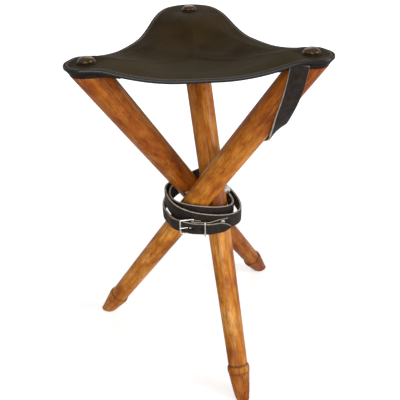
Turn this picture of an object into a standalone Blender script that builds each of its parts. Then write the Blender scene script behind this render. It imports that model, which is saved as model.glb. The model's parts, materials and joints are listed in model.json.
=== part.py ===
"""Tripod stool: three turned legs on a three-way bolt, a leather sling seat and a buckled carry strap.

Metres, +Z up. The stool stands on the floor at z = 0 with its plan box centred on the origin.
The right leg runs from the right front corner of the seat to the left foot, the left leg from the left
corner to the right foot, and the back leg from the back corner to the front foot.
"""
import bmesh
import bpy
import numpy as np
from math import cos, pi, radians, sin, sqrt, tan
from mathutils import Matrix, Vector

for old in list(bpy.data.objects):
    bpy.data.objects.remove(old, do_unlink=True)

# Driving dimensions: the frame
LEG_TOP_HEIGHT = 0.446
HUB_HEIGHT = 0.2378
LEG_TILT = 33.69
LEG_AZIMUTHS = {"right": -30.0, "left": 210.0, "back": 90.0}
CLEARANCE = 0.0003
LEG_GAP = 0.0012

# Driving dimensions: a turned leg, along its axis from the foot
LEG_TOP_DIAMETER = 0.0360
LEG_HUB_DIAMETER = 0.0324
ANKLE_DIAMETER = 0.0264
BEAD_DIAMETER = 0.0308
BEAD_LENGTH = 0.0110
BEAD_NICK = 0.15
TIP_LENGTH = 0.0340
TIP_TOP_DIAMETER = 0.0290
FOOT_DIAMETER = 0.0190
TIP_CURVE = 0.8
LEG_SIDES = 32

# Driving dimensions: the three-way bolt
BOLT_DIAMETER = 0.0080
BOLT_HEAD_DIAMETER = 0.0165
BOLT_HEAD_HEIGHT = 0.0045
BOLT_WASHER_DIAMETER = 0.0180
BOLT_NUT_ACROSS_FLATS = 0.0130
BOLT_NUT_HEIGHT = 0.0050
NUT_DOME_WIDTH = 0.92
NUT_DOME_RISE = 0.30
EYE_THICKNESS = 0.0030
EYE_WALL = 0.0046
EYE_SHANK_DIAMETER = 0.0060
EYE_FLANGE_DIAMETER = 0.0110
EYE_FLANGE_THICKNESS = 0.0020
EYE_WASHER_DIAMETER = 0.0140
EYE_NUT_ACROSS_FLATS = 0.0100
EYE_NUT_HEIGHT = 0.0050
WASHER_THICKNESS = 0.0015

# Driving dimensions: the leather seat, its pockets and studs
SEAT_THICKNESS = 0.0040
SEAT_SIDE_RADIUS = 0.0225
SEAT_BACK_RADIUS = 0.0400
SEAT_FRONT_DRAW = 0.0015
SEAT_BACK_DRAW = 0.0100
SEAT_SAG = 0.0165
SEAT_DISH = 0.0110
SEAT_SIDE_FLAT = 0.0262
SEAT_BACK_FLAT = 0.0400
SEAT_SLOPE_LENGTH = 0.0760
POCKET_THICKNESS = 0.0022
POCKET_DEPTH = 0.0130
POCKET_ARM_LENGTH = 0.0360
POCKET_ARM_END_DEPTH = 0.0040
STUD_DIAMETER = 0.0170
STUD_HEIGHT = 0.0050
STUD_SHANK_DIAMETER = 0.0040
STUD_SHANK_LENGTH = 0.0150
STUD_INSET = 0.0025
ROSETTE_DIAMETER = 0.0215
ROSETTE_THICKNESS = 0.0012

# Driving dimensions: the straps and the buckle
STRAP_WIDTH = 0.0205
STRAP_END_WIDTH = 0.0160
STRAP_THICKNESS = 0.0026
BUCKLE_STRAP_THICKNESS = 0.0018
STRAP_GAP = 0.0005
STRAP_TAPER_LENGTH = 0.2600
STRAP_POINT_LENGTH = 0.0170
STRAP_POINT_WIDTH = 0.12
STRAP_POINT_CURVE = 0.8
BUCKLE_WIRE = 0.0022
BUCKLE_PLAY = 0.0015
PRONG_DIAMETER = 0.0018
PRONG_LOOP_START = -200.0
PRONG_LOOP_END = 90.0
KEEPER_WIRE = 0.0017
RIVET_SHANK_DIAMETER = 0.0028
RIVET_HEAD_DIAMETER = 0.0056
RIVET_HEAD_HEIGHT = 0.0010
RIVET_TAIL_WIDTH = 0.8
RIVET_REACH = 0.0060

# Route of the carry strap down the right leg: below the leg end, angle round the leg from its front
# towards its right, distance off the wood, and the angle that the strap's grain side faces
STRAP_DROP = (
    (0.0110, -47.0, 0.0088, -14.0),
    (0.0260, -32.0, 0.0070, -12.0),
    (0.0450, -14.0, 0.0050, -3.0),
    (0.0650, 5.0, 0.0036, 7.0),
    (0.0880, 36.0, 0.0029, 30.0),
    (0.1050, 82.0, 0.0034, 74.0),
    (0.1260, 128.0, 0.0040, 120.0),
)
DROP_BULGE = 0.0300
DROP_LIFT = 0.0100
# Turns round the legs: angle, distance of the strap off the legs' outline, and height over the hub.
# The first and last rows only steer the strap's ends.
CARRY_TURNS = (
    (0.0, 0.0070, 0.0280),
    (90.0, 0.0036, -0.0035),
    (180.0, 0.0030, -0.0040),
    (270.0, 0.0035, -0.0020),
    (360.0, 0.0055, -0.0190),
    (450.0, 0.0060, -0.0080),
    (540.0, 0.0085, 0.0010),
    (630.0, 0.0100, -0.0095),
    (720.0, 0.0155, -0.0245),
    (810.0, 0.0130, -0.0160),
    (855.0, 0.0105, -0.0200),
    (880.0, 0.0062, -0.0206),
    (905.0, 0.0034, -0.0206),
    (925.0, 0.0042, -0.0198),
    (945.0, 0.0048, -0.0180),
    (965.0, 0.0128, -0.0168),
    (990.0, 0.0118, -0.0176),
    (1080.0, 0.0160, -0.0310),
)
CARRY_START_ANGLE = 60.0
JOIN_ANGLE = 20.0
CARRY_END_ANGLE = 1030.0
# The buckle strap lies on the second turn: angle, and height over the hub
BUCKLE_RUN = ((258.0, -0.0163), (283.0, -0.0177), (317.0, -0.0180))
HINGE_BAR_ANGLE = 624.0
TAB_ANGLE = 10.0
KEEPER_ANGLE = 640.0
LAND_START_ANGLE = 646.0
LAND_END_ANGLE = 657.0
END_RIVET_ANGLE = 662.0
END_RIVET_RISE = 0.0040
BUCKLE_END_ANGLE = 668.0
END_BAR_ANGLE = 967.0
LAP_START_ANGLE = 921.0
LAP_END_ANGLE = 956.0
STRAP_EASE_ANGLE = 16.0
STRAP_STEP = 0.0080

# Facets of domes and thin round pieces
DOME_RINGS = 6
THIN_SIDES = 16

# Derived sizes of the frame
SIDE_SHIFT = tan(radians(LEG_TILT))
LEG_LEAN = cos(radians(LEG_TILT))


def leg_direction(name):
    azimuth = radians(LEG_AZIMUTHS[name])
    tilt = radians(LEG_TILT)
    return Vector((sin(tilt) * cos(azimuth), sin(tilt) * sin(azimuth), cos(tilt)))


DIRECTION = {name: leg_direction(name) for name in LEG_AZIMUTHS}
BOLT_AXIS = DIRECTION["left"].cross(DIRECTION["right"]).normalized()
EYE_AXIS = BOLT_AXIS.cross(DIRECTION["back"]).normalized()
BOLT_OFFSET = LEG_HUB_DIAMETER / 2 + EYE_THICKNESS / 2 + CLEARANCE
COMMON_NORMAL = DIRECTION["right"].cross(DIRECTION["back"]).normalized()
EYE_OFFSET = (LEG_HUB_DIAMETER + LEG_GAP - abs(COMMON_NORMAL.dot(BOLT_AXIS)) * BOLT_OFFSET) \
    / abs(COMMON_NORMAL.dot(EYE_AXIS))
CROSSING_OFFSET = {
    "right": BOLT_AXIS * -BOLT_OFFSET,
    "left": BOLT_AXIS * BOLT_OFFSET,
    "back": EYE_AXIS * EYE_OFFSET,
}
HINGE = {"right": BOLT_AXIS, "left": BOLT_AXIS, "back": EYE_AXIS}


SEAT_RADIUS = {"right": SEAT_SIDE_RADIUS, "back": SEAT_BACK_RADIUS, "left": SEAT_SIDE_RADIUS}


def plan_centre():
    """Middle of the plan box of the feet and the seat corners, with the hub at the plan origin."""
    low = Vector((1.0, 1.0))
    high = Vector((-1.0, -1.0))
    for name, offset in CROSSING_OFFSET.items():
        crossing = Vector((0, 0, HUB_HEIGHT)) + offset
        for height, reach in ((0.0, FOOT_DIAMETER / 2), (LEG_TOP_HEIGHT, SEAT_RADIUS[name])):
            point = crossing + DIRECTION[name] * ((height - crossing.z) / LEG_LEAN)
            for axis in (0, 1):
                low[axis] = min(low[axis], point[axis] - reach)
                high[axis] = max(high[axis], point[axis] + reach)
    return (low + high) / 2


PLAN = plan_centre()
HUB = Vector((-PLAN.x, -PLAN.y, HUB_HEIGHT))
CROSSING = {name: HUB + offset for name, offset in CROSSING_OFFSET.items()}


def axis_at(name, height):
    """Point of a leg's axis at a height over the floor."""
    return CROSSING[name] + DIRECTION[name] * ((height - CROSSING[name].z) / LEG_LEAN)


def frame_of(origin, x_axis, z_axis):
    """Matrix with its z along z_axis and its x as near as it can be to x_axis."""
    z = Vector(z_axis).normalized()
    x = (Vector(x_axis) - z * z.dot(Vector(x_axis))).normalized()
    y = z.cross(x)
    matrix = Matrix((x, y, z)).transposed().to_4x4()
    matrix.translation = Vector(origin)
    return matrix


# Collections, materials and shared makers
parts = bpy.data.collections.new("tripod_stool")
cutters = bpy.data.collections.new("tripod_stool_cutters")
bpy.context.scene.collection.children.link(parts)
bpy.context.scene.collection.children.link(cutters)

LOOKS = {
    "wood": ((0.36, 0.17, 0.06, 1.0), 0.45, 0.0),
    "seat_hide": ((0.055, 0.045, 0.03, 1.0), 0.5, 0.0),
    "strap_hide": ((0.03, 0.027, 0.025, 1.0), 0.55, 0.0),
    "bronze": ((0.12, 0.085, 0.05, 1.0), 0.4, 1.0),
    "nickel": ((0.62, 0.60, 0.56, 1.0), 0.25, 1.0),
    "steel": ((0.5, 0.5, 0.5, 1.0), 0.3, 1.0),
}


def finish(obj, look, smooth=True):
    """Give a part its own material and shade its curved faces smooth."""
    colour, roughness, metallic = LOOKS[look]
    material = bpy.data.materials.new(obj.name + "_" + look)
    material.use_nodes = True
    shader = material.node_tree.nodes["Principled BSDF"]
    shader.inputs["Base Color"].default_value = colour
    shader.inputs["Roughness"].default_value = roughness
    shader.inputs["Metallic"].default_value = metallic
    obj.data.materials.append(material)
    if smooth:
        obj.data.shade_smooth()
    return obj


def add(name, mesh, frame, cutter=False):
    obj = bpy.data.objects.new(name, mesh)
    obj.matrix_world = frame
    if cutter:
        cutters.objects.link(obj)
        obj.hide_render = True
        obj.display_type = "WIRE"
    else:
        parts.objects.link(obj)
    return obj


def hang(obj, parent):
    """Parent a part to an empty and leave it where it stands."""
    world = obj.matrix_world.copy()
    obj.parent = parent
    obj.matrix_parent_inverse = parent.matrix_world.inverted()
    obj.matrix_world = world


def pivot(name, frame):
    empty = bpy.data.objects.new(name, None)
    empty.empty_display_size = 0.03
    empty.matrix_world = frame
    parts.objects.link(empty)
    return empty


def turned(name, profile, frame, sides=24, closed=False, cutter=False):
    """A turned piece: a (radius, height) profile, listed top to bottom on its outer side, round local z."""
    mesh = bpy.data.meshes.new(name)
    edges = [(i, i + 1) for i in range(len(profile) - 1)]
    if closed:
        edges.append((len(profile) - 1, 0))
    mesh.from_pydata([(radius, 0.0, height) for radius, height in profile], edges, [])
    obj = add(name, mesh, frame, cutter)
    screw = obj.modifiers.new("turning", "SCREW")
    screw.axis = "Z"
    screw.steps = sides
    screw.render_steps = sides
    screw.use_merge_vertices = True
    screw.merge_threshold = 0.00001
    screw.use_smooth_shade = True
    return obj


def boolean(obj, tool, operation="DIFFERENCE"):
    modifier = obj.modifiers.new(operation.lower(), "BOOLEAN")
    modifier.operation = operation
    modifier.solver = "EXACT"
    modifier.object = tool


def rod(name, frame, diameter, low, high, sides=24):
    """A round cutter along the frame's z, from low to high."""
    mesh = bpy.data.meshes.new(name)
    shape = bmesh.new()
    bmesh.ops.create_cone(
        shape, cap_ends=True, segments=sides, radius1=diameter / 2, radius2=diameter / 2, depth=high - low,
        matrix=Matrix.Translation((0, 0, (low + high) / 2)))
    shape.to_mesh(mesh)
    shape.free()
    return add(name, mesh, frame, cutter=True)


def block(name, low, high):
    """A box cutter between two corners."""
    mesh = bpy.data.meshes.new(name)
    shape = bmesh.new()
    size = Vector(high) - Vector(low)
    middle = (Vector(high) + Vector(low)) / 2
    place = Matrix.Translation(middle) @ Matrix.Diagonal((*size, 1.0))
    bmesh.ops.create_cube(shape, size=1.0, matrix=place)
    shape.to_mesh(mesh)
    shape.free()
    return add(name, mesh, Matrix(), cutter=True)


def smooth_line(knots, values, at):
    """Cubic through values at the knots; the slope at a knot comes from its neighbours on both sides."""
    knots = np.asarray(knots, dtype=float)
    values = np.asarray(values, dtype=float)
    slopes = np.gradient(values, knots, axis=0)
    index = np.clip(np.searchsorted(knots, at, side="right") - 1, 0, len(knots) - 2)
    span = knots[index + 1] - knots[index]
    t = (at - knots[index]) / span
    if values.ndim > 1:
        span = span[:, None]
        t = t[:, None]
    start = (2 * t ** 3 - 3 * t ** 2 + 1) * values[index] + (t ** 3 - 2 * t ** 2 + t) * span * slopes[index]
    end = (3 * t ** 2 - 2 * t ** 3) * values[index + 1] + (t ** 3 - t ** 2) * span * slopes[index + 1]
    return start + end


# Legs
LEG_LENGTH = LEG_TOP_HEIGHT / LEG_LEAN
SHAFT_START = TIP_LENGTH + BEAD_LENGTH
SHAFT_CURVE = np.polyfit(
    [SHAFT_START, HUB_HEIGHT / LEG_LEAN, LEG_LENGTH],
    [ANKLE_DIAMETER / 2, LEG_HUB_DIAMETER / 2, LEG_TOP_DIAMETER / 2], 2)
SHAFT_RINGS = 8
BEAD_RINGS = 7
TIP_RINGS = 5
TENON_RADIUS = LEG_TOP_DIAMETER / 2 - POCKET_THICKNESS - CLEARANCE


def shaft_radius(along):
    return float(np.polyval(SHAFT_CURVE, along))


def leg_profile():
    """Radius and distance from the foot, from over the top cut down to below the floor cut."""
    over_top = LEG_LENGTH + LEG_TOP_DIAMETER * SIDE_SHIFT
    under_foot = -FOOT_DIAMETER * SIDE_SHIFT
    points = [(0.0, over_top), (LEG_TOP_DIAMETER / 2, over_top)]
    for along in np.linspace(LEG_LENGTH, SHAFT_START, SHAFT_RINGS):
        points.append((shaft_radius(along), float(along)))
    for turn in np.linspace(BEAD_NICK, 1 - BEAD_NICK, BEAD_RINGS):
        swell = sin(pi * turn)
        foot_side = turn * TIP_TOP_DIAMETER / 2 + (1 - turn) * ANKLE_DIAMETER / 2
        radius = foot_side + (BEAD_DIAMETER / 2 - foot_side) * sqrt(swell)
        points.append((radius, SHAFT_START - BEAD_LENGTH * turn))
    for share in np.linspace(1.0, 0.0, TIP_RINGS):
        radius = FOOT_DIAMETER / 2 + (TIP_TOP_DIAMETER - FOOT_DIAMETER) / 2 * share ** TIP_CURVE
        points.append((radius, TIP_LENGTH * float(share)))
    points.append((FOOT_DIAMETER / 2, under_foot))
    points.append((0.0, under_foot))
    return points


SLAB = 0.30
over_legs = block("over_legs", (-SLAB, -SLAB, LEG_TOP_HEIGHT), (SLAB, SLAB, LEG_TOP_HEIGHT + SLAB))
under_legs = block("under_legs", (-SLAB, -SLAB, -SLAB), (SLAB, SLAB, 0.0))
pocket_band = block(
    "pocket_band", (-SLAB, -SLAB, LEG_TOP_HEIGHT - POCKET_DEPTH - CLEARANCE),
    (SLAB, SLAB, LEG_TOP_HEIGHT + SLAB))

bolt_frame = frame_of(HUB, EYE_AXIS, BOLT_AXIS)
eye_frame = frame_of(HUB, BOLT_AXIS, EYE_AXIS)
HOLE_SLACK = 2 * CLEARANCE
BORE_SLACK = 0.0010


def bore_floor(diameter):
    """Depth, from the leg's axis, at which a counterbore is round all the way."""
    return sqrt((LEG_HUB_DIAMETER / 2) ** 2 - (diameter / 2) ** 2) - CLEARANCE


bolt_bore = BOLT_WASHER_DIAMETER + BORE_SLACK
eye_bore = EYE_WASHER_DIAMETER + BORE_SLACK
flange_bore = EYE_FLANGE_DIAMETER + BORE_SLACK
BOLT_FLOOR = BOLT_OFFSET + bore_floor(bolt_bore)
EYE_FLOOR = EYE_OFFSET + bore_floor(eye_bore)
FLANGE_FLOOR = EYE_OFFSET - bore_floor(flange_bore)

bolt_hole = rod(
    "bolt_hole", bolt_frame, BOLT_DIAMETER + HOLE_SLACK, -LEG_HUB_DIAMETER * 2, LEG_HUB_DIAMETER * 2)
front_bore = rod("front_bore", bolt_frame, bolt_bore, -BOLT_FLOOR - LEG_HUB_DIAMETER, -BOLT_FLOOR)
rear_bore = rod("rear_bore", bolt_frame, bolt_bore, BOLT_FLOOR, BOLT_FLOOR + LEG_HUB_DIAMETER)
eye_hole = rod(
    "eye_hole", eye_frame, EYE_SHANK_DIAMETER + HOLE_SLACK, EYE_OFFSET - LEG_HUB_DIAMETER,
    EYE_OFFSET + LEG_HUB_DIAMETER)
nut_bore = rod("nut_bore", eye_frame, eye_bore, EYE_FLOOR, EYE_FLOOR + LEG_HUB_DIAMETER)
flange_hole = rod("flange_hole", eye_frame, flange_bore, FLANGE_FLOOR - LEG_HUB_DIAMETER, FLANGE_FLOOR)

pivots = {}
legs = {}
corner = {name: axis_at(name, LEG_TOP_HEIGHT) for name in LEG_AZIMUTHS}
plan_middle = sum(corner.values(), Vector()) / 3
stud_point = {}
for name in LEG_AZIMUTHS:
    frame = frame_of(CROSSING[name], HINGE[name], DIRECTION[name])
    pivots[name] = pivot("leg_" + name + "_pivot", frame)
    foot = CROSSING[name].z / LEG_LEAN
    leg = turned(
        "leg_" + name, [(radius, along - foot) for radius, along in leg_profile()], frame, LEG_SIDES)
    shoulder = turned(
        "shoulder_" + name, [(LEG_TOP_DIAMETER, LEG_LENGTH), (LEG_TOP_DIAMETER, 0.0), (TENON_RADIUS, 0.0),
                             (TENON_RADIUS, LEG_LENGTH)],
        frame, LEG_SIDES, closed=True, cutter=True)
    boolean(shoulder, pocket_band, "INTERSECT")
    inward = (plan_middle - corner[name]).normalized()
    stud_point[name] = corner[name] + inward * STUD_INSET
    stud_hole = rod(
        "stud_hole_" + name, frame_of(stud_point[name], EYE_AXIS, (0, 0, 1)),
        STUD_SHANK_DIAMETER + HOLE_SLACK, -STUD_SHANK_LENGTH, STUD_SHANK_LENGTH, THIN_SIDES)
    for tool in (shoulder, over_legs, under_legs, stud_hole):
        boolean(leg, tool)
    legs[name] = leg
    finish(leg, "wood")
    hang(leg, pivots[name])
boolean(legs["right"], bolt_hole)
boolean(legs["right"], front_bore)
boolean(legs["left"], bolt_hole)
boolean(legs["left"], rear_bore)
boolean(legs["back"], eye_hole)
boolean(legs["back"], nut_bore)
boolean(legs["back"], flange_hole)


# Three-way bolt at the crossing
def washer(name, frame, outer, inner, low):
    top = low + WASHER_THICKNESS
    return turned(
        name, [(outer / 2, top), (outer / 2, low), (inner / 2, low), (inner / 2, top)], frame, closed=True)


def cap_nut(name, frame, across, height, thread, low):
    """A hexagon with a dome on it, and a blind bore for the thread."""
    mesh = bpy.data.meshes.new(name)
    shape = bmesh.new()
    bmesh.ops.create_cone(
        shape, cap_ends=True, segments=6, radius1=across / sqrt(3), radius2=across / sqrt(3), depth=height,
        matrix=Matrix.Translation((0, 0, low + height / 2)))
    shape.to_mesh(mesh)
    shape.free()
    nut = add(name, mesh, frame)
    dome_radius = across / 2 * NUT_DOME_WIDTH
    rise = across * NUT_DOME_RISE
    base = low + height - rise / 4
    arc = [(dome_radius * cos(turn), base + rise * sin(turn)) for turn in np.linspace(pi / 2, 0, DOME_RINGS)]
    arc[0] = (0.0, base + rise)
    bottom = low + height / 2
    dome = turned(
        name + "_dome", arc + [(dome_radius, bottom), (0.0, bottom)], frame, cutter=True)
    boolean(nut, dome, "UNION")
    bore = rod(name + "_bore", frame, thread + HOLE_SLACK, low - height, low + height, THIN_SIDES)
    boolean(nut, bore)
    return nut


head_base = -BOLT_FLOOR - WASHER_THICKNESS - 2 * CLEARANCE
nut_base = BOLT_FLOOR + WASHER_THICKNESS + 2 * CLEARANCE
bolt_end = nut_base + BOLT_NUT_HEIGHT - 2 * CLEARANCE
head_arc = [
    (BOLT_HEAD_DIAMETER / 2 * sin(turn), head_base - BOLT_HEAD_HEIGHT * cos(turn))
    for turn in np.linspace(pi / 2, 0, DOME_RINGS)]
head_arc[-1] = (0.0, head_base - BOLT_HEAD_HEIGHT)
hub_bolt = turned(
    "hub_bolt", [(0.0, bolt_end), (BOLT_DIAMETER / 2, bolt_end), (BOLT_DIAMETER / 2, head_base)] + head_arc,
    bolt_frame)
hub_nut = cap_nut("hub_nut", bolt_frame, BOLT_NUT_ACROSS_FLATS, BOLT_NUT_HEIGHT, BOLT_DIAMETER, nut_base)
hub_washer_front = washer(
    "hub_washer_front", bolt_frame, BOLT_WASHER_DIAMETER, BOLT_DIAMETER + HOLE_SLACK,
    -BOLT_FLOOR - WASHER_THICKNESS - CLEARANCE)
hub_washer_back = washer(
    "hub_washer_back", bolt_frame, BOLT_WASHER_DIAMETER, BOLT_DIAMETER + HOLE_SLACK, BOLT_FLOOR + CLEARANCE)

eye_inner = BOLT_DIAMETER / 2 + CLEARANCE
eye_outer = eye_inner + EYE_WALL
eye_nut_base = EYE_FLOOR + WASHER_THICKNESS + 2 * CLEARANCE
eye_end = eye_nut_base + EYE_NUT_HEIGHT - 2 * CLEARANCE
neck_start = eye_inner + EYE_WALL / 2
neck_radius = EYE_THICKNESS / 2 - CLEARANCE
flange_top = FLANGE_FLOOR - CLEARANCE
flange_low = flange_top - EYE_FLANGE_THICKNESS
eye_bolt = turned(
    "eye_bolt", [(0.0, eye_end), (EYE_SHANK_DIAMETER / 2, eye_end), (EYE_SHANK_DIAMETER / 2, flange_top),
                 (EYE_FLANGE_DIAMETER / 2, flange_top), (EYE_FLANGE_DIAMETER / 2, flange_low),
                 (EYE_SHANK_DIAMETER / 2, flange_low), (neck_radius, eye_outer), (neck_radius, neck_start),
                 (0.0, neck_start)], eye_frame)
eye_edge = EYE_THICKNESS / 4
eye_ring = turned(
    "eye_ring", [(eye_outer - eye_edge, EYE_THICKNESS / 2), (eye_outer, EYE_THICKNESS / 2 - eye_edge),
                 (eye_outer, -EYE_THICKNESS / 2 + eye_edge), (eye_outer - eye_edge, -EYE_THICKNESS / 2),
                 (eye_inner, -EYE_THICKNESS / 2), (eye_inner, EYE_THICKNESS / 2)],
    bolt_frame, closed=True, cutter=True)
boolean(eye_bolt, eye_ring, "UNION")
eye_nut = cap_nut(
    "eye_nut", eye_frame, EYE_NUT_ACROSS_FLATS, EYE_NUT_HEIGHT, EYE_SHANK_DIAMETER, eye_nut_base)
eye_washer = washer(
    "eye_washer", eye_frame, EYE_WASHER_DIAMETER, EYE_SHANK_DIAMETER + HOLE_SLACK, EYE_FLOOR + CLEARANCE)
for piece in (hub_bolt, hub_nut, hub_washer_front, hub_washer_back, eye_bolt, eye_nut, eye_washer):
    finish(piece, "steel")

# Leather seat
SEAT_ORDER = ("right", "back", "left")
CORNERS = np.array([corner[name] for name in SEAT_ORDER])[:, :2]
CORNER_RADII = [SEAT_RADIUS[name] for name in SEAT_ORDER]
CORNER_FLATS = (SEAT_SIDE_FLAT, SEAT_BACK_FLAT, SEAT_SIDE_FLAT)
EDGE_DRAWS = (SEAT_BACK_DRAW, SEAT_BACK_DRAW, SEAT_FRONT_DRAW)
SEAT_BASE = LEG_TOP_HEIGHT + CLEARANCE
ARC_POINTS = 9
EDGE_POINTS = 11
SEAT_RAYS = 3 * (ARC_POINTS + EDGE_POINTS)
SEAT_RINGS = (0.16, 0.31, 0.45, 0.57, 0.67, 0.745, 0.82, 0.89, 0.95, 1.0)


def corner_weights(points):
    """Shares of the three corners at plan points: one at its own corner, and adding up to one."""
    across = np.column_stack((CORNERS[0] - CORNERS[2], CORNERS[1] - CORNERS[2]))
    first = np.linalg.solve(across, (points - CORNERS[2]).T).T
    return np.column_stack((first, 1 - first.sum(axis=1)))


def seat_underside(points):
    """Height of the leather's lower face: level round each leg end, drawn down along the edges and more in
    the middle, where each corner has a third."""
    weights = np.clip(corner_weights(points), 0.0, 1.0)
    drop = SEAT_SAG + SEAT_DISH * (3 * weights).prod(axis=1)
    for place, flat in zip(CORNERS, CORNER_FLATS):
        reach = np.hypot(*(points - place).T)
        share = np.clip((reach - flat) / SEAT_SLOPE_LENGTH, 0.0, 1.0)
        drop *= 1 - (1 - share) ** 2
    return SEAT_BASE - drop


def seat_outline():
    """Plan outline: an arc round each leg end, wider at the back, and edges drawn in between the arcs."""
    pieces = []
    for index in range(3):
        here = CORNERS[index]
        before = CORNERS[index - 1]
        after = CORNERS[(index + 1) % 3]
        start = np.arctan2(*((here - before)[::-1])) - pi / 2
        sweep = (np.arctan2(*((after - here)[::-1])) - pi / 2 - start) % (2 * pi)
        turns = start + sweep * np.linspace(0, 1, ARC_POINTS)
        radius = CORNER_RADII[index]
        pieces.append(here + radius * np.column_stack((np.cos(turns), np.sin(turns))))
        outward = np.array((np.cos(turns[-1]), np.sin(turns[-1])))
        along = np.linspace(0, 1, EDGE_POINTS + 2)[1:-1, None]
        draw = EDGE_DRAWS[index] * np.sin(pi * along) ** 2
        reach = radius + (CORNER_RADII[(index + 1) % 3] - radius) * along
        pieces.append(here + (after - here) * along + outward * (reach - draw))
    return np.vstack(pieces)


outline = seat_outline()
middle = CORNERS.mean(axis=0)
plan = np.vstack([middle[None]] + [middle + (outline - middle) * share for share in SEAT_RINGS])
seat_points = np.column_stack((plan, seat_underside(plan)))
seat_faces = []
for ray in range(SEAT_RAYS):
    following = (ray + 1) % SEAT_RAYS
    seat_faces.append((0, 1 + ray, 1 + following))
    for ring in range(len(SEAT_RINGS) - 1):
        inner = 1 + ring * SEAT_RAYS
        outer = inner + SEAT_RAYS
        seat_faces.append((inner + ray, outer + ray, outer + following, inner + following))
mesh = bpy.data.meshes.new("seat_leather")
mesh.from_pydata(seat_points.tolist(), [], seat_faces)
seat_leather = add("seat_leather", mesh, Matrix())
shell = seat_leather.modifiers.new("thickness", "SOLIDIFY")
shell.thickness = SEAT_THICKNESS
shell.offset = 1.0

# Studs over the leg ends, each on a rosette washer
top_of_leather = SEAT_BASE + SEAT_THICKNESS
for name in LEG_AZIMUTHS:
    frame = frame_of(stud_point[name], EYE_AXIS, (0, 0, 1))
    frame.translation.z = 0.0
    hole = rod(
        "leather_hole_" + name, frame, STUD_SHANK_DIAMETER + HOLE_SLACK, LEG_TOP_HEIGHT - SEAT_THICKNESS,
        LEG_TOP_HEIGHT + 3 * SEAT_THICKNESS, THIN_SIDES)
    boolean(seat_leather, hole)
    rosette_low = top_of_leather + CLEARANCE
    rosette_top = rosette_low + ROSETTE_THICKNESS
    rosette = turned(
        "stud_rosette_" + name,
        [(STUD_DIAMETER / 2, rosette_top), (ROSETTE_DIAMETER / 2, rosette_low + ROSETTE_THICKNESS / 2),
         (ROSETTE_DIAMETER / 2, rosette_low), (STUD_SHANK_DIAMETER / 2 + CLEARANCE, rosette_low),
         (STUD_SHANK_DIAMETER / 2 + CLEARANCE, rosette_top)], frame, closed=True)
    dome_low = rosette_top + CLEARANCE
    dome = [
        (STUD_DIAMETER / 2 * sin(turn), dome_low + STUD_HEIGHT * cos(turn))
        for turn in np.linspace(0, pi / 2, DOME_RINGS + 1)]
    dome[0] = (0.0, dome_low + STUD_HEIGHT)
    shank_end = LEG_TOP_HEIGHT - STUD_SHANK_LENGTH + 2 * CLEARANCE
    stud = turned(
        "stud_" + name, dome + [(STUD_SHANK_DIAMETER / 2, dome_low), (STUD_SHANK_DIAMETER / 2, shank_end),
                                (0.0, shank_end)], frame)
    for piece in (stud, rosette):
        finish(piece, "bronze")
        hang(piece, pivots[name])
finish(seat_leather, "seat_hide")


# Corner pockets: a leather wall round each leg end, with two arms under the seat's edges
ARM_POINTS = 5
ARM_MARGIN = 0.0013
POCKET_RADIUS = TENON_RADIUS + CLEARANCE
under_pockets = block(
    "under_pockets", (-SLAB, -SLAB, LEG_TOP_HEIGHT - POCKET_DEPTH - SLAB),
    (SLAB, SLAB, LEG_TOP_HEIGHT - POCKET_DEPTH))


def pocket_path(name):
    """Plan points of the wall's inner face at the leg end, each point's share of the way out along an arm, and
    the way that the leg leans."""
    index = SEAT_ORDER.index(name)
    here = CORNERS[index]
    along_before = (here - CORNERS[index - 1]) / np.linalg.norm(here - CORNERS[index - 1])
    along_after = CORNERS[(index + 1) % 3] - here
    along_after = along_after / np.linalg.norm(along_after)
    azimuth = radians(LEG_AZIMUTHS[name])
    tilt_way = np.array((cos(azimuth), sin(azimuth)))
    side_way = np.array((-sin(azimuth), cos(azimuth)))
    start = np.arctan2(along_before[1], along_before[0]) - pi / 2
    sweep = (np.arctan2(along_after[1], along_after[0]) - pi / 2 - start) % (2 * pi)
    facing = start + sweep * np.linspace(0, 1, 2 * ARC_POINTS - 1) - azimuth
    long_half = POCKET_RADIUS / LEG_LEAN
    support = np.hypot(long_half * np.cos(facing), POCKET_RADIUS * np.sin(facing))
    arc = here + np.outer(long_half ** 2 * np.cos(facing) / support, tilt_way) \
        + np.outer(POCKET_RADIUS ** 2 * np.sin(facing) / support, side_way)
    out = np.linspace(0, 1, ARM_POINTS + 1)[1:]
    first = arc[0] - np.outer(out[::-1] * POCKET_ARM_LENGTH, along_before)
    last = arc[-1] + np.outer(out * POCKET_ARM_LENGTH, along_after)
    return np.vstack((first, arc, last)), np.concatenate((out[::-1], np.zeros(len(arc)), out)), tilt_way


pockets = {}
for name in LEG_AZIMUTHS:
    path, arm, tilt_way = pocket_path(name)
    top = seat_underside(path) - CLEARANCE - ARM_MARGIN * (arm > 0)
    depth = POCKET_DEPTH + (POCKET_ARM_END_DEPTH - POCKET_DEPTH) * arm
    low = np.where(arm > 0, top - depth, LEG_TOP_HEIGHT - POCKET_DEPTH - POCKET_THICKNESS)
    rows = []
    for height in (low, top):
        shift = np.outer((height - LEG_TOP_HEIGHT) * SIDE_SHIFT, tilt_way)
        rows.append(np.column_stack((path + shift, height)))
    count = len(path)
    mesh = bpy.data.meshes.new("corner_pocket_" + name)
    mesh.from_pydata(
        np.vstack(rows).tolist(), [], [(i, i + 1, count + i + 1, count + i) for i in range(count - 1)])
    pocket = add("corner_pocket_" + name, mesh, Matrix())
    wall = pocket.modifiers.new("thickness", "SOLIDIFY")
    wall.thickness = POCKET_THICKNESS
    wall.offset = 1.0
    boolean(pocket, under_pockets)
    finish(pocket, "seat_hide", smooth=False)
    hang(pocket, pivots[name])
    pockets[name] = pocket

# Straps: their route round the legs, as a belt that lies a chosen distance off the legs' outline
FINE_STEP = 0.5
BELT_MARGIN = 40.0
SHEET_COLUMNS = 7


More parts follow.
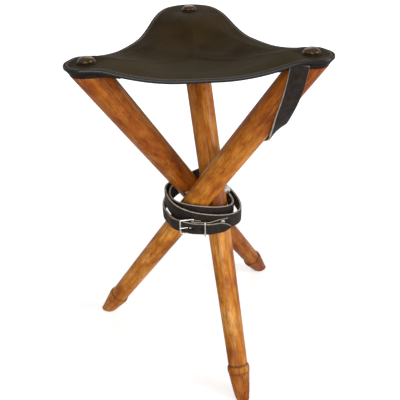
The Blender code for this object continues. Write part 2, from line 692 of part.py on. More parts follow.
def legs_reach(angles, heights, half_width):
    """Farthest reach of the legs from the hub in each direction, over the strap's width."""
    ways = np.column_stack((np.cos(np.radians(angles)), np.sin(np.radians(angles))))
    best = np.full(len(angles), -1.0)
    for name in LEG_AZIMUTHS:
        azimuth = radians(LEG_AZIMUTHS[name])
        tilt_way = np.array((cos(azimuth), sin(azimuth)))
        crossing = np.array(CROSSING_OFFSET[name])
        along = ways @ tilt_way
        across = np.sqrt(np.clip(1 - along ** 2, 0, 1))
        for edge in (-1, 0, 1):
            height = heights + edge * half_width
            centre = crossing[:2] + np.outer((height - crossing[2]) * SIDE_SHIFT, tilt_way)
            radius = np.polyval(SHAFT_CURVE, (HUB_HEIGHT + height) / LEG_LEAN)
            reach = (centre * ways).sum(axis=1) + radius * np.hypot(along / LEG_LEAN, across)
            best = np.maximum(best, reach)
    return best


def belt(turns, width):
    """Angles round the hub, centre line and outward normals of a strap that follows a table of turns."""
    rows = np.array(turns)
    facing = np.arange(rows[0, 0] - BELT_MARGIN, rows[-1, 0] + BELT_MARGIN, FINE_STEP)
    turn = np.radians(facing)
    outward = np.column_stack((np.cos(turn), np.sin(turn), np.zeros(len(turn))))
    onward = np.column_stack((-np.sin(turn), np.cos(turn), np.zeros(len(turn))))
    spread = np.arange(-3 * STRAP_EASE_ANGLE, 3 * STRAP_EASE_ANGLE + FINE_STEP / 2, FINE_STEP)
    bell = np.exp(-0.5 * (spread / STRAP_EASE_ANGLE) ** 2)
    angles = facing
    for _ in range(4):
        inside = np.clip(angles, rows[0, 0], rows[-1, 0])
        heights = smooth_line(rows[:, 0], rows[:, 2], inside)
        reach = legs_reach(facing, heights, width / 2) + smooth_line(rows[:, 0], rows[:, 1], inside)
        padded = np.pad(reach + STRAP_THICKNESS / 2, len(spread) // 2, mode="edge")
        reach = np.convolve(padded, bell / bell.sum(), mode="valid")
        offset = outward * reach[:, None] + onward * np.gradient(reach, turn)[:, None]
        angles = np.degrees(np.unwrap(np.arctan2(offset[:, 1], offset[:, 0])))
        angles += 360 * np.round((facing[0] - angles[0]) / 360)
    offset[:, 2] = heights
    kept = (angles >= rows[0, 0]) & (angles <= rows[-1, 0])
    return angles[kept], np.array(HUB) + offset[kept], outward[kept]


def at_angle(angles, values, angle):
    return np.array([np.interp(angle, angles, values[:, axis]) for axis in range(3)])


def evenly(points, facing, step):
    """Points and normals of a line again, at even steps along it."""
    length = np.concatenate(([0], np.cumsum(np.linalg.norm(np.diff(points, axis=0), axis=1))))
    at = np.linspace(0, length[-1], int(round(length[-1] / step)) + 1)
    line = np.column_stack([np.interp(at, length, points[:, axis]) for axis in range(3)])
    normal = np.column_stack([np.interp(at, length, facing[:, axis]) for axis in range(3)])
    return at, line, normal


def cross_frame(line, normal):
    """Unit directions across the strap and out of its grain side."""
    along = np.gradient(line, axis=0)
    along /= np.linalg.norm(along, axis=1)[:, None]
    normal = normal - along * (normal * along).sum(axis=1)[:, None]
    normal /= np.linalg.norm(normal, axis=1)[:, None]
    return np.cross(normal, along), normal


def ribbon(name, line, normal, widths, thickness):
    """A strap: a surface across its centre line, thickened to both sides."""
    across, normal = cross_frame(line, normal)
    rows = [line + across * (share * widths)[:, None] for share in (-0.5, 0.0, 0.5)]
    count = len(line)
    faces = []
    for row in (0, count):
        for i in range(count - 1):
            faces.append((row + i, row + i + 1, row + count + i + 1, row + count + i))
    mesh = bpy.data.meshes.new(name)
    mesh.from_pydata(np.vstack(rows).tolist(), [], faces)
    obj = add(name, mesh, Matrix())
    shell = obj.modifiers.new("thickness", "SOLIDIFY")
    shell.thickness = thickness
    shell.offset = 0.0
    return obj


def sheet_points(line, normal, widths):
    """Points all over the middle face of a strap, a row of columns for each point of its line."""
    across, _ = cross_frame(line, normal)
    shares = np.linspace(-0.5, 0.5, SHEET_COLUMNS)
    return np.stack([line + across * (share * widths)[:, None] for share in shares], axis=1)


carry_angles, carry_belt, carry_out = belt(CARRY_TURNS, STRAP_WIDTH)

# Where the strap's end laps over the buckle strap, both keep their distance from the second turn
fold_radius = BUCKLE_WIRE / 2 + CLEARANCE + BUCKLE_STRAP_THICKNESS / 2
tab_off = STRAP_THICKNESS / 2 + STRAP_GAP + BUCKLE_STRAP_THICKNESS / 2
fold_off = tab_off + 2 * fold_radius
double_off = tab_off + BUCKLE_STRAP_THICKNESS + KEEPER_WIRE + CLEARANCE
lap_extra = BUCKLE_STRAP_THICKNESS / 2 + 2 * STRAP_GAP + STRAP_THICKNESS / 2
head_extra = BUCKLE_STRAP_THICKNESS / 2 + RIVET_HEAD_HEIGHT + STRAP_GAP + CLEARANCE + STRAP_THICKNESS / 2
run_knots = (
    HINGE_BAR_ANGLE, HINGE_BAR_ANGLE + TAB_ANGLE, LAND_START_ANGLE, LAND_END_ANGLE, BUCKLE_END_ANGLE)
run_off = (fold_off, double_off, double_off, tab_off, tab_off)
lap_knots = (LAP_START_ANGLE - 360, *run_knots)
lap_off = (
    STRAP_THICKNESS + lap_extra, fold_off + lap_extra, double_off + lap_extra, double_off + lap_extra,
    tab_off + head_extra, tab_off + head_extra)


def lay_over(angles, offsets):
    """Points and normals at a distance outside the second turn."""
    base = np.column_stack([np.interp(angles, carry_angles, carry_belt[:, axis]) for axis in range(3)])
    out = np.column_stack([np.interp(angles, carry_angles, carry_out[:, axis]) for axis in range(3)])
    return base + out * offsets[:, None], out


late = carry_angles > LAP_START_ANGLE
lap_angles = carry_angles[late] - 360
lap_line, lap_out = lay_over(lap_angles, np.interp(lap_angles, lap_knots, lap_off))
share = np.clip((carry_angles[late] - LAP_START_ANGLE) / (LAP_END_ANGLE - LAP_START_ANGLE), 0, 1)
share = (share * share * (3 - 2 * share))[:, None]
carry_belt[late, :2] = (1 - share) * carry_belt[late, :2] + share * lap_line[:, :2]
carry_out[late] = (1 - share) * carry_out[late] + share * lap_out
carry_out /= np.linalg.norm(carry_out, axis=1)[:, None]

# The carry strap's drop: down the front of the right leg, over to its right side and back to the winding
right_way = np.array(DIRECTION["right"].cross(BOLT_AXIS)) * -1
front_way = np.array(BOLT_AXIS) * -1
drop_line = []
drop_facing = []
for below, around, off, facing in STRAP_DROP:
    along = LEG_LENGTH - below
    reach = shaft_radius(along) + off
    way = right_way * sin(radians(around)) + front_way * cos(radians(around))
    drop_line.append(np.array(axis_at("right", LEG_TOP_HEIGHT) - DIRECTION["right"] * below) + way * reach)
    drop_facing.append(right_way * sin(radians(facing)) + front_way * cos(radians(facing)))
wound = (carry_angles >= CARRY_START_ANGLE) & (carry_angles <= CARRY_END_ANGLE)
join = carry_belt[wound][0]
join_facing = carry_out[wound][0]
halfway = (drop_line[-1] + join) / 2 + np.array(EYE_AXIS) * DROP_BULGE + np.array((0, 0, DROP_LIFT))
after_join = at_angle(carry_angles, carry_belt, CARRY_START_ANGLE + JOIN_ANGLE)
drop_line += [halfway, join, after_join]
drop_facing += [(drop_facing[-1] + join_facing) / 2, join_facing, join_facing]
drop_line = np.array(drop_line)
gaps = np.linalg.norm(np.diff(drop_line, axis=0), axis=1)
knots = np.concatenate(([0], np.cumsum(gaps)))
fine = np.arange(0, knots[-2], STRAP_STEP / 4)
drop_points = smooth_line(knots, drop_line, fine)
drop_normals = smooth_line(knots, np.array(drop_facing), fine)
carry_points = np.vstack((drop_points, carry_belt[wound]))
carry_normals = np.vstack((drop_normals, carry_out[wound]))


def strap_widths(at):
    """Full width, then a taper to the strap's end and a point at the very end."""
    left = at[-1] - at
    width = np.interp(left, (STRAP_POINT_LENGTH, STRAP_TAPER_LENGTH), (STRAP_END_WIDTH, STRAP_WIDTH))
    point = np.clip(left / STRAP_POINT_LENGTH, 0, 1)
    rounded = np.sin(point * pi / 2) ** STRAP_POINT_CURVE
    return width * (STRAP_POINT_WIDTH + (1 - STRAP_POINT_WIDTH) * rounded)


carry_at, carry_line, carry_normal = evenly(carry_points, carry_normals, STRAP_STEP)
carry_strap = ribbon("carry_strap", carry_line, carry_normal, strap_widths(carry_at), STRAP_THICKNESS)

# The strap's least gap to itself, taken on points of its middle face that lie far apart along it
check_at, check_line, check_normal = evenly(carry_points, carry_normals, STRAP_STEP / 4)
check_sheet = sheet_points(check_line, check_normal, strap_widths(check_at))
far = np.abs(check_at[:, None] - check_at[None, :]) > 4 * STRAP_WIDTH
least = 1.0
for row in check_sheet.transpose(1, 0, 2):
    for other in check_sheet.transpose(1, 0, 2):
        apart = np.linalg.norm(row[:, None] - other[None, :], axis=2)
        least = min(least, float(apart[far].min()))
print("carry strap: length %.1f mm, least gap to itself %.2f mm" % (
    carry_at[-1] * 1000, (least - STRAP_THICKNESS) * 1000))

# The buckle strap: a tab, a fold round the buckle's hinge bar, and the run to its rivet
run_angles = np.arange(HINGE_BAR_ANGLE, BUCKLE_END_ANGLE + FINE_STEP / 2, FINE_STEP)
run_line, run_out = lay_over(run_angles, np.interp(run_angles, run_knots, run_off))
tab_angles = np.arange(HINGE_BAR_ANGLE + TAB_ANGLE, HINGE_BAR_ANGLE - FINE_STEP / 2, -FINE_STEP)
tab_line, tab_out = lay_over(tab_angles, np.full(len(tab_angles), tab_off))
run_heights = np.array(BUCKLE_RUN)
run_line[:, 2] = HUB.z + smooth_line(run_heights[:, 0], run_heights[:, 1], run_angles - 360)
tab_line[:, 2] = HUB.z + smooth_line(run_heights[:, 0], run_heights[:, 1], tab_angles - 360)
bar_out = run_out[0]
bar_on = np.array((-bar_out[1], bar_out[0], 0.0))
hinge_bar = run_line[0] - bar_out * fold_radius
fold_turn = np.linspace(pi, 0, 17)[1:-1, None]
fold_normals = np.cos(fold_turn) * bar_out - np.sin(fold_turn) * bar_on
fold_points = hinge_bar + fold_radius * fold_normals
buckle_at, buckle_line, buckle_normal = evenly(
    np.vstack((tab_line, fold_points, run_line)), np.vstack((-tab_out, fold_normals, run_out)),
    STRAP_STEP / 6)
buckle_widths = np.full(len(buckle_at), STRAP_END_WIDTH)
buckle_strap = ribbon("buckle_strap", buckle_line, buckle_normal, buckle_widths, BUCKLE_STRAP_THICKNESS)
buckle_sheet = sheet_points(buckle_line, buckle_normal, buckle_widths).reshape(-1, 3)
between = 1.0
for row in check_sheet.transpose(1, 0, 2):
    between = min(between, float(np.linalg.norm(row[:, None] - buckle_sheet[None, ::3], axis=2).min()))
print("buckle strap: length %.1f mm, least gap to the carry strap %.2f mm" % (
    buckle_at[-1] * 1000, (between - STRAP_THICKNESS / 2 - BUCKLE_STRAP_THICKNESS / 2) * 1000))
finish(carry_strap, "strap_hide")
finish(buckle_strap, "strap_hide")


# Buckle: a wire frame from the hinge bar, over the strap's end, to the bar outside it
def tube(name, points, wire, cyclic, resolution=3):
    """A round wire along points, made into a mesh."""
    data = bpy.data.curves.new(name, "CURVE")
    data.dimensions = "3D"
    data.bevel_depth = wire / 2
    data.bevel_resolution = resolution
    data.use_fill_caps = True
    line = data.splines.new("POLY")
    line.points.add(len(points) - 1)
    for point, place in zip(line.points, points):
        point.co = (*place, 1.0)
    line.use_cyclic_u = cyclic
    curve = bpy.data.objects.new(name + "_curve", data)
    bpy.context.scene.collection.objects.link(curve)
    bpy.context.view_layer.update()
    mesh = bpy.data.meshes.new_from_object(curve.evaluated_get(bpy.context.evaluated_depsgraph_get()))
    bpy.data.objects.remove(curve, do_unlink=True)
    shape = bmesh.new()
    shape.from_mesh(mesh)
    bmesh.ops.remove_doubles(shape, verts=shape.verts, dist=0.00001)
    bmesh.ops.recalc_face_normals(shape, faces=shape.faces)
    shape.to_mesh(mesh)
    shape.free()
    return add(name, mesh, Matrix())


CORNER_POINTS = 5


def round_box(centre, first, second, half_first, half_second, radius):
    """Points of a rectangle with round corners, in the plane of two unit directions."""
    points = []
    for index in range(4):
        way = pi / 2 * index
        corner_first = (half_first - radius) * (1 if index in (0, 3) else -1)
        corner_second = (half_second - radius) * (1 if index in (0, 1) else -1)
        for turn in way + np.linspace(0, pi / 2, CORNER_POINTS):
            points.append(
                centre + first * (corner_first + radius * np.cos(turn))
                + second * (corner_second + radius * np.sin(turn)))
    return points


def unit(vector):
    return vector / np.linalg.norm(vector)


UP = np.array((0.0, 0.0, 1.0))
end_out = at_angle(carry_angles, carry_out, END_BAR_ANGLE)
end_bar = at_angle(carry_angles, carry_belt, END_BAR_ANGLE) \
    + end_out * (STRAP_THICKNESS / 2 + 2 * CLEARANCE + BUCKLE_WIRE / 2)
end_bar[2] = hinge_bar[2]
buckle_way = unit(end_bar - hinge_bar)
buckle_up = unit(UP - buckle_way * (UP @ buckle_way))
buckle_half = STRAP_END_WIDTH / 2 + BUCKLE_PLAY + BUCKLE_WIRE / 2
buckle_length = np.linalg.norm(end_bar - hinge_bar)
buckle_path = round_box(
    (end_bar + hinge_bar) / 2, buckle_way, buckle_up, buckle_length / 2, buckle_half, BUCKLE_WIRE)
buckle_frame = tube("buckle_frame", buckle_path, BUCKLE_WIRE, True)

# Prong: a loop round the hinge bar and a straight point that passes the strap and rests on the end bar
loop_radius = BUCKLE_WIRE / 2 + CLEARANCE + PRONG_DIAMETER / 2
rest_out = unit(np.cross(buckle_up, buckle_way))
rest_out = rest_out * np.sign(rest_out @ end_out)
loop_turns = np.radians(np.linspace(PRONG_LOOP_START, PRONG_LOOP_END, THIN_SIDES))
prong_points = [
    hinge_bar + loop_radius * (np.cos(turn) * buckle_way + np.sin(turn) * rest_out) for turn in loop_turns]
prong_tip = end_bar + rest_out * loop_radius + buckle_way * BUCKLE_WIRE / 2
prong_points += [prong_points[-1] + (prong_tip - prong_points[-1]) * share for share in (0.35, 0.7, 1.0)]
buckle_prong = tube("buckle_prong", prong_points, PRONG_DIAMETER, False, 2)
prong_slot = rod(
    "prong_slot", frame_of(hinge_bar + rest_out * loop_radius, buckle_up, buckle_way),
    PRONG_DIAMETER + 3 * HOLE_SLACK, BUCKLE_WIRE, buckle_length + 2 * BUCKLE_WIRE, THIN_SIDES)
fold_slot = rod(
    "fold_slot", frame_of(hinge_bar, buckle_way, buckle_up), 2 * fold_radius + 2 * BUCKLE_STRAP_THICKNESS,
    -PRONG_DIAMETER, PRONG_DIAMETER)

# Keeper: a wire loop round the strap's end and the buckle strap
keeper_outer = at_angle(carry_angles, carry_belt, KEEPER_ANGLE + 360)
keeper_out = at_angle(carry_angles, carry_out, KEEPER_ANGLE + 360)
keeper_inner = at_angle(run_angles, run_line, KEEPER_ANGLE)
keeper_depth = (keeper_outer - keeper_inner) @ keeper_out
keeper_middle = keeper_outer - keeper_out * keeper_depth / 2
keeper_middle[2] = (keeper_outer[2] + keeper_inner[2]) / 2
keeper_half_out = keeper_depth / 2 + STRAP_THICKNESS / 2 + 2 * CLEARANCE + KEEPER_WIRE / 2
keeper_rise = abs(keeper_outer[2] - keeper_inner[2])
keeper_half_up = STRAP_END_WIDTH / 2 + keeper_rise / 2 + BUCKLE_PLAY + KEEPER_WIRE / 2
strap_keeper = tube(
    "strap_keeper", round_box(keeper_middle, keeper_out, UP, keeper_half_out, keeper_half_up, KEEPER_WIRE),
    KEEPER_WIRE, True, 2)
for piece in (buckle_frame, buckle_prong, strap_keeper):
    finish(piece, "nickel")


# Rivets
def rivet(name, point, way, low, high, holed):
    """A rivet along a direction through the pieces between two distances, with a hole in each of them."""
    frame = frame_of(point, UP, way)
    shank = RIVET_SHANK_DIAMETER / 2
    head = RIVET_HEAD_DIAMETER / 2
    top = high + CLEARANCE
    bottom = low - CLEARANCE
    arc = [(head * sin(turn), top + RIVET_HEAD_HEIGHT * cos(turn)) for turn in np.linspace(0, pi / 2, 4)]
    arc[0] = (0.0, top + RIVET_HEAD_HEIGHT)
    tail = head * RIVET_TAIL_WIDTH
    piece = turned(
        name, arc + [(shank, top), (shank, bottom), (tail, bottom), (tail, bottom - RIVET_HEAD_HEIGHT),
                     (0.0, bottom - RIVET_HEAD_HEIGHT)], frame, THIN_SIDES)
    hole = rod(
        name + "_hole", frame, RIVET_SHANK_DIAMETER + HOLE_SLACK, low - STRAP_THICKNESS / 2,
        high + STRAP_THICKNESS / 2, THIN_SIDES)
    for target in holed:
        boolean(target, hole)
    finish(piece, "nickel")
    return piece


top_facing = unit(carry_normal[1])
top_point = carry_line[1]
strap_rivet = rivet(
    "strap_rivet", top_point, top_facing, -RIVET_REACH, STRAP_THICKNESS / 2, (carry_strap, pockets["right"]))
hang(strap_rivet, pivots["right"])
end_point = at_angle(run_angles, run_line, END_RIVET_ANGLE)
end_point[2] += END_RIVET_RISE
end_way = at_angle(run_angles, run_out, END_RIVET_ANGLE)
end_rivet = rivet(
    "end_rivet", end_point, end_way, -tab_off - STRAP_THICKNESS / 2, BUCKLE_STRAP_THICKNESS / 2,
    (buckle_strap, carry_strap))
boolean(carry_strap, prong_slot)
boolean(buckle_strap, fold_slot)

prong_pivot = pivot("buckle_prong_pivot", frame_of(hinge_bar, buckle_way, buckle_up))
hang(buckle_prong, prong_pivot)
print("hub", [round(value, 5) for value in HUB])
for name in LEG_AZIMUTHS:
    print(
        "leg", name, "hinge axis", [round(value, 6) for value in HINGE[name]], "through",
        [round(value, 5) for value in CROSSING[name]], "foot",
        [round(value, 5) for value in axis_at(name, 0.0)])
print("prong hinge", np.round(hinge_bar, 5).tolist(), "axis", np.round(buckle_up, 6).tolist())
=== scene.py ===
# %% [markdown]
# # A tripod stool with a leather sling seat
# The imported model comes in as a fixed frame: every body, joint and solid has its place in metres already.
# This script only dresses it. Wood, leather and metal pieces are worked out as surfaces with numpy and take
# the place of the plain solids. Most of them ride on the body that carries them, so they move when the stool
# folds; the seat halves and the carry strap don't.

# %% Load the frame
import json
import bmesh
import bpy
import numpy as np
from mathutils import Matrix, Vector


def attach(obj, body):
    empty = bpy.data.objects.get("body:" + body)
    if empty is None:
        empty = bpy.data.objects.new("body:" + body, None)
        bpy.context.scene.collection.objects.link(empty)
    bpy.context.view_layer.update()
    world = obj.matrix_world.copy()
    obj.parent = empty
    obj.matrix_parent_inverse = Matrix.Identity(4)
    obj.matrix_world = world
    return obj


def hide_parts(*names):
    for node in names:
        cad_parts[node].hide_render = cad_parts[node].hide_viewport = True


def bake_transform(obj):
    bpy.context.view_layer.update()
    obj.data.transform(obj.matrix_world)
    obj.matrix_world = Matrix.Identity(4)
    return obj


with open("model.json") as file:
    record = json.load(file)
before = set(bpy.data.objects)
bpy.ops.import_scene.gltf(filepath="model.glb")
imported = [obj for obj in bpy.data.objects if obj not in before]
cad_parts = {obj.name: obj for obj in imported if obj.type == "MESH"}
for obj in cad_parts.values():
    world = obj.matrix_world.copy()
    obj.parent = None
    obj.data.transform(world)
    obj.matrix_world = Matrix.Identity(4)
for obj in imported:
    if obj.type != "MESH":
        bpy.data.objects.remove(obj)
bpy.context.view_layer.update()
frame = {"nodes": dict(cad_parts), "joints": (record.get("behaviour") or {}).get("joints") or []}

joints = {joint["name"]: joint for joint in frame["joints"]}

# %% [markdown]
# The three legs cross at a three-way bolt. All three lean by the same angle and differ only in the
# direction of the lean, so a leg is one tilt, one azimuth and the point where its hinge crosses it. The
# hinge points come from the frame's joints, which keeps the dressing and the moving model in step.

# %% Legs: where they stand
LEG_TILT = np.radians(33.69)
TOP = 0.446
LEAN = np.cos(LEG_TILT)
SHIFT = np.tan(LEG_TILT)
AZIMUTH = {"right": np.radians(-30.0), "back": np.radians(90.0), "left": np.radians(210.0)}
BODY = {"right": "right_leg", "back": "back_leg", "left": "left_leg"}
CLEARANCE = 0.0003
UP = np.array((0.0, 0.0, 1.0))
LEG_LENGTH = TOP / LEAN
crossing = {name: np.array(joints[BODY[name] + "_fold"]["pos_m"]) for name in AZIMUTH}


def unit(vectors):
    """Vectors divided by their own lengths."""
    return vectors / np.linalg.norm(vectors, axis=-1, keepdims=True)


def plan_ways(angles):
    """Level ways at angles from the X axis, two numbers each."""
    return np.stack((np.cos(angles), np.sin(angles)), axis=-1)


def leg_ways(name):
    """The leg's axis, the way across it that points down and outwards, and the level way across it."""
    out = np.append(plan_ways(AZIMUTH[name]), 0.0)
    axis = np.sin(LEG_TILT) * out + LEAN * UP
    return axis, LEAN * out - np.sin(LEG_TILT) * UP, np.cross(UP, out)


def axis_at(name, height):
    """Point of the leg's axis at a height over the floor."""
    return crossing[name] + leg_ways(name)[0] * (height - crossing[name][2]) / LEAN


bolt_axis = unit(np.cross(leg_ways("left")[0], leg_ways("right")[0]))
eye_axis = unit(np.cross(bolt_axis, leg_ways("back")[0]))
hub = (crossing["right"] + crossing["left"]) / 2
print("hub at", hub.round(4).tolist())

# %% [markdown]
# Every new piece here is a grid of points: one index runs along the piece and the other goes round or
# across it. Where a grid meets itself, at the seam of a turned leg or the pole of a dome, its points
# coincide, so one helper joins them, turns the faces outwards and keeps only the real arrises sharp.
# Another way would be to model each piece by hand in edit mode, but a formula can be read, measured and
# changed.

# %% Makers of meshes
JOIN = 1e-6


def grid_mesh(name, grid, strip=None):
    """Quads between neighbouring points of a grid. strip gives each point its two texture coordinates."""
    rows, columns = grid.shape[:2]
    number = np.arange(rows * columns).reshape(rows, columns)
    quads = np.stack((number[:-1, :-1], number[:-1, 1:], number[1:, 1:], number[1:, :-1]), axis=2)
    quads = quads.reshape(-1, 4)
    mesh = bpy.data.meshes.new(name)
    mesh.from_pydata(grid.reshape(-1, 3), [], quads)
    if strip is not None:
        layer = mesh.uv_layers.new(name="strip")
        layer.data.foreach_set("uv", strip.reshape(-1, 2)[quads.ravel()].astype(np.float32).ravel())
    return mesh


def close_up(mesh, crisp=40.0):
    """Join coinciding points, turn the faces outwards, and shade smooth but for edges past crisp degrees."""
    shape = bmesh.new()
    shape.from_mesh(mesh)
    bmesh.ops.remove_doubles(shape, verts=shape.verts, dist=JOIN)
    bmesh.ops.dissolve_degenerate(shape, edges=shape.edges, dist=JOIN / 10)
    bmesh.ops.recalc_face_normals(shape, faces=shape.faces)
    shape.to_mesh(mesh)
    shape.free()
    mesh.shade_smooth()
    mesh.set_sharp_from_angle(angle=np.radians(crisp))
    return mesh


def turned(name, profile, centre, first, second, axis, sides=64):
    """A turned shape: each (radius, height) of the profile goes once round the axis through centre."""
    turn = np.linspace(0, 2 * np.pi, sides + 1)
    ring = np.outer(np.cos(turn), first) + np.outer(np.sin(turn), second)
    profile = np.asarray(profile)
    grid = centre + profile[:, 0, None, None] * ring[None] + profile[:, 1, None, None] * axis
    return grid_mesh(name, grid)


print("helpers: grid_mesh, close_up and turned")

# %% [markdown]
# A mesh shows once an object carries it, with a material and a slot that names what it is made of. A finish
# often has to know where on its piece a point lies. Such numbers could be painted by hand, but when they are
# worked out and stored on the points they follow every change of shape.

# %% Makers of pieces
def add_object(name, data):
    made = bpy.data.objects.new(name, data)
    bpy.context.scene.collection.objects.link(made)
    return made


def add_piece(mesh, material):
    piece = add_object(mesh.name, mesh)
    mesh.materials.append(material)
    return piece


def mesh_points(mesh):
    """Places of a mesh's points, one row each."""
    points = np.empty(len(mesh.vertices) * 3)
    mesh.vertices.foreach_get("co", points)
    return points.reshape(-1, 3)


def store(mesh, name, values):
    """Keep a number or a vector on each point of a mesh, for its finish to read."""
    kind, field = ("FLOAT", "value") if values.ndim == 1 else ("FLOAT_VECTOR", "vector")
    mesh.attributes.new(name, kind, "POINT").data.foreach_set(field, values.ravel())


print("helpers: add_object, add_piece, mesh_points and store")

# %% [markdown]
# The bolt set and the prong go through real holes. A Boolean modifier takes closed rods away from a mesh, as
# a drill would. A hole could also be built into a grid, but the grid's rows don't fit a hole that crosses
# them at an angle.

# %% Makers of holes
# No bore here runs along SKEW, so a cross product with it always gives a way across the bore.
SKEW = (0.31, 0.47, 0.83)


def bored(mesh, tools, crisp=40.0):
    """The mesh with the shapes of some closed tool meshes taken away from it."""
    piece = add_object(mesh.name, mesh)
    holders = []
    for tool in tools:
        holder = add_object("bore", close_up(tool))
        cut = piece.modifiers.new("bore", "BOOLEAN")
        cut.operation = "DIFFERENCE"
        cut.solver = "EXACT"
        cut.object = holder
        holders.append(holder)
    bpy.context.view_layer.update()
    result = bpy.data.meshes.new_from_object(piece.evaluated_get(bpy.context.evaluated_depsgraph_get()))
    name = mesh.name
    for spare in [piece] + holders:
        bpy.data.objects.remove(spare, do_unlink=True)
    bpy.data.meshes.remove(mesh)
    result.name = name
    return close_up(result, crisp)


def rod(centre, axis, radius, low, high, sides=40):
    """A closed round rod along an axis, from one distance to another."""
    first = unit(np.cross(axis, SKEW))
    profile = ((0, low), (radius, low), (radius, high), (0, high))
    return turned("rod", profile, centre, first, np.cross(axis, first), axis, sides)


print("helpers: bored and rod")

# %% [markdown]
# Materials are node trees. Small helpers add a node, set its fields and values, and link the sockets that
# are given in place of values, so that a tree reads like a list of steps. The shader editor shows the same
# trees, and they could be built there by hand, but not read or repeated so easily.

# %% Makers of materials: nodes and links
def feed(tree, node, **values):
    """Set a node's inputs by name, with _ for a space, or by at and a number; an output socket is linked."""
    for name, value in values.items():
        socket = node.inputs[int(name[2:])] if name.startswith("at") else node.inputs[name.replace("_", " ")]
        if isinstance(value, bpy.types.NodeSocket):
            tree.links.new(value, socket)
        else:
            socket.default_value = value


def put(tree, kind, fields=None, **values):
    """Add a node, set its fields and feed its inputs."""
    made = tree.nodes.new(kind)
    for field, value in (fields or {}).items():
        setattr(made, field, value)
    feed(tree, made, **values)
    return made


def start_material(name):
    material = bpy.data.materials.new(name)
    material.use_nodes = True
    return material, material.node_tree, material.node_tree.nodes["Principled BSDF"]


print("helpers: feed, put and start_material")

# %% [markdown]
# Most finishes take the same few steps: a noise, a number stored on the points, a ramp or a mix of colours, a
# sum, a change of range and a bump. Each gets a short name here. A picture could give one stool its finish as
# well, but a procedural finish has no seams and stays sharp at every size.

# %% Makers of materials: the steps of a finish
def noise(tree, place, scale, detail, rough=0.5):
    made = put(tree, "ShaderNodeTexNoise", Vector=place, Scale=scale, Detail=detail, Roughness=rough)
    return made.outputs[0]


def stored(tree, name, output="Fac"):
    """What the points of a mesh keep under a name."""
    return put(tree, "ShaderNodeAttribute", {"attribute_name": name}).outputs[output]


def ramp(tree, value, stops):
    """A colour ramp over (place, colour) stops."""
    made = put(tree, "ShaderNodeValToRGB", Fac=value)
    for _ in stops[2:]:
        made.color_ramp.elements.new(0.5)
    for element, (place, colour) in zip(made.color_ramp.elements, stops):
        element.position = place
        element.color = (*colour, 1.0)
    return made.outputs["Color"]


def blend_colours(tree, share, first, second, mode="MIX"):
    """A mix of two colours, each one a socket or three numbers."""
    first, second = (
        colour if isinstance(colour, bpy.types.NodeSocket) else (*colour, 1.0) for colour in (first, second))
    fields = {"data_type": "RGBA", "blend_type": mode}
    return put(tree, "ShaderNodeMix", fields, at0=share, at6=first, at7=second).outputs[2]


def sums(tree, operation, first, second=0.0, third=0.0):
    """One arithmetic step on values."""
    made = put(tree, "ShaderNodeMath", {"operation": operation}, at0=first, at1=second, at2=third)
    return made.outputs[0]


def rescale(tree, value, low, high, to_low, to_high):
    made = put(tree, "ShaderNodeMapRange", {"clamp": True}, Value=value, From_Min=low, From_Max=high,
               To_Min=to_low, To_Max=to_high)
    return made.outputs["Result"]


def bump(tree, shader, height, strength, distance):
    made = put(tree, "ShaderNodeBump", Height=height, Strength=strength, Distance=distance)
    feed(tree, shader, Normal=made.outputs["Normal"])


print("helpers: noise, stored, ramp, blend_colours, sums, rescale and bump")

# %% [markdown]
# The legs are an oiled, honey-brown hardwood. Long dark streaks run with the grain, short pores lie between
# them, and the tone drifts along the leg. Grain has to follow the leg and not the room, so each leg stores
# its own lathe coordinates, across, across and along, and the noises are drawn out many times along the
# last one.

# %% Finish: oiled wood
TIP = 0.034
BEAD = 0.011
SWAY = (0.010, 0.010, 0.0)
GROOVE_SHADE_REACH = (0.0003, 0.0026)


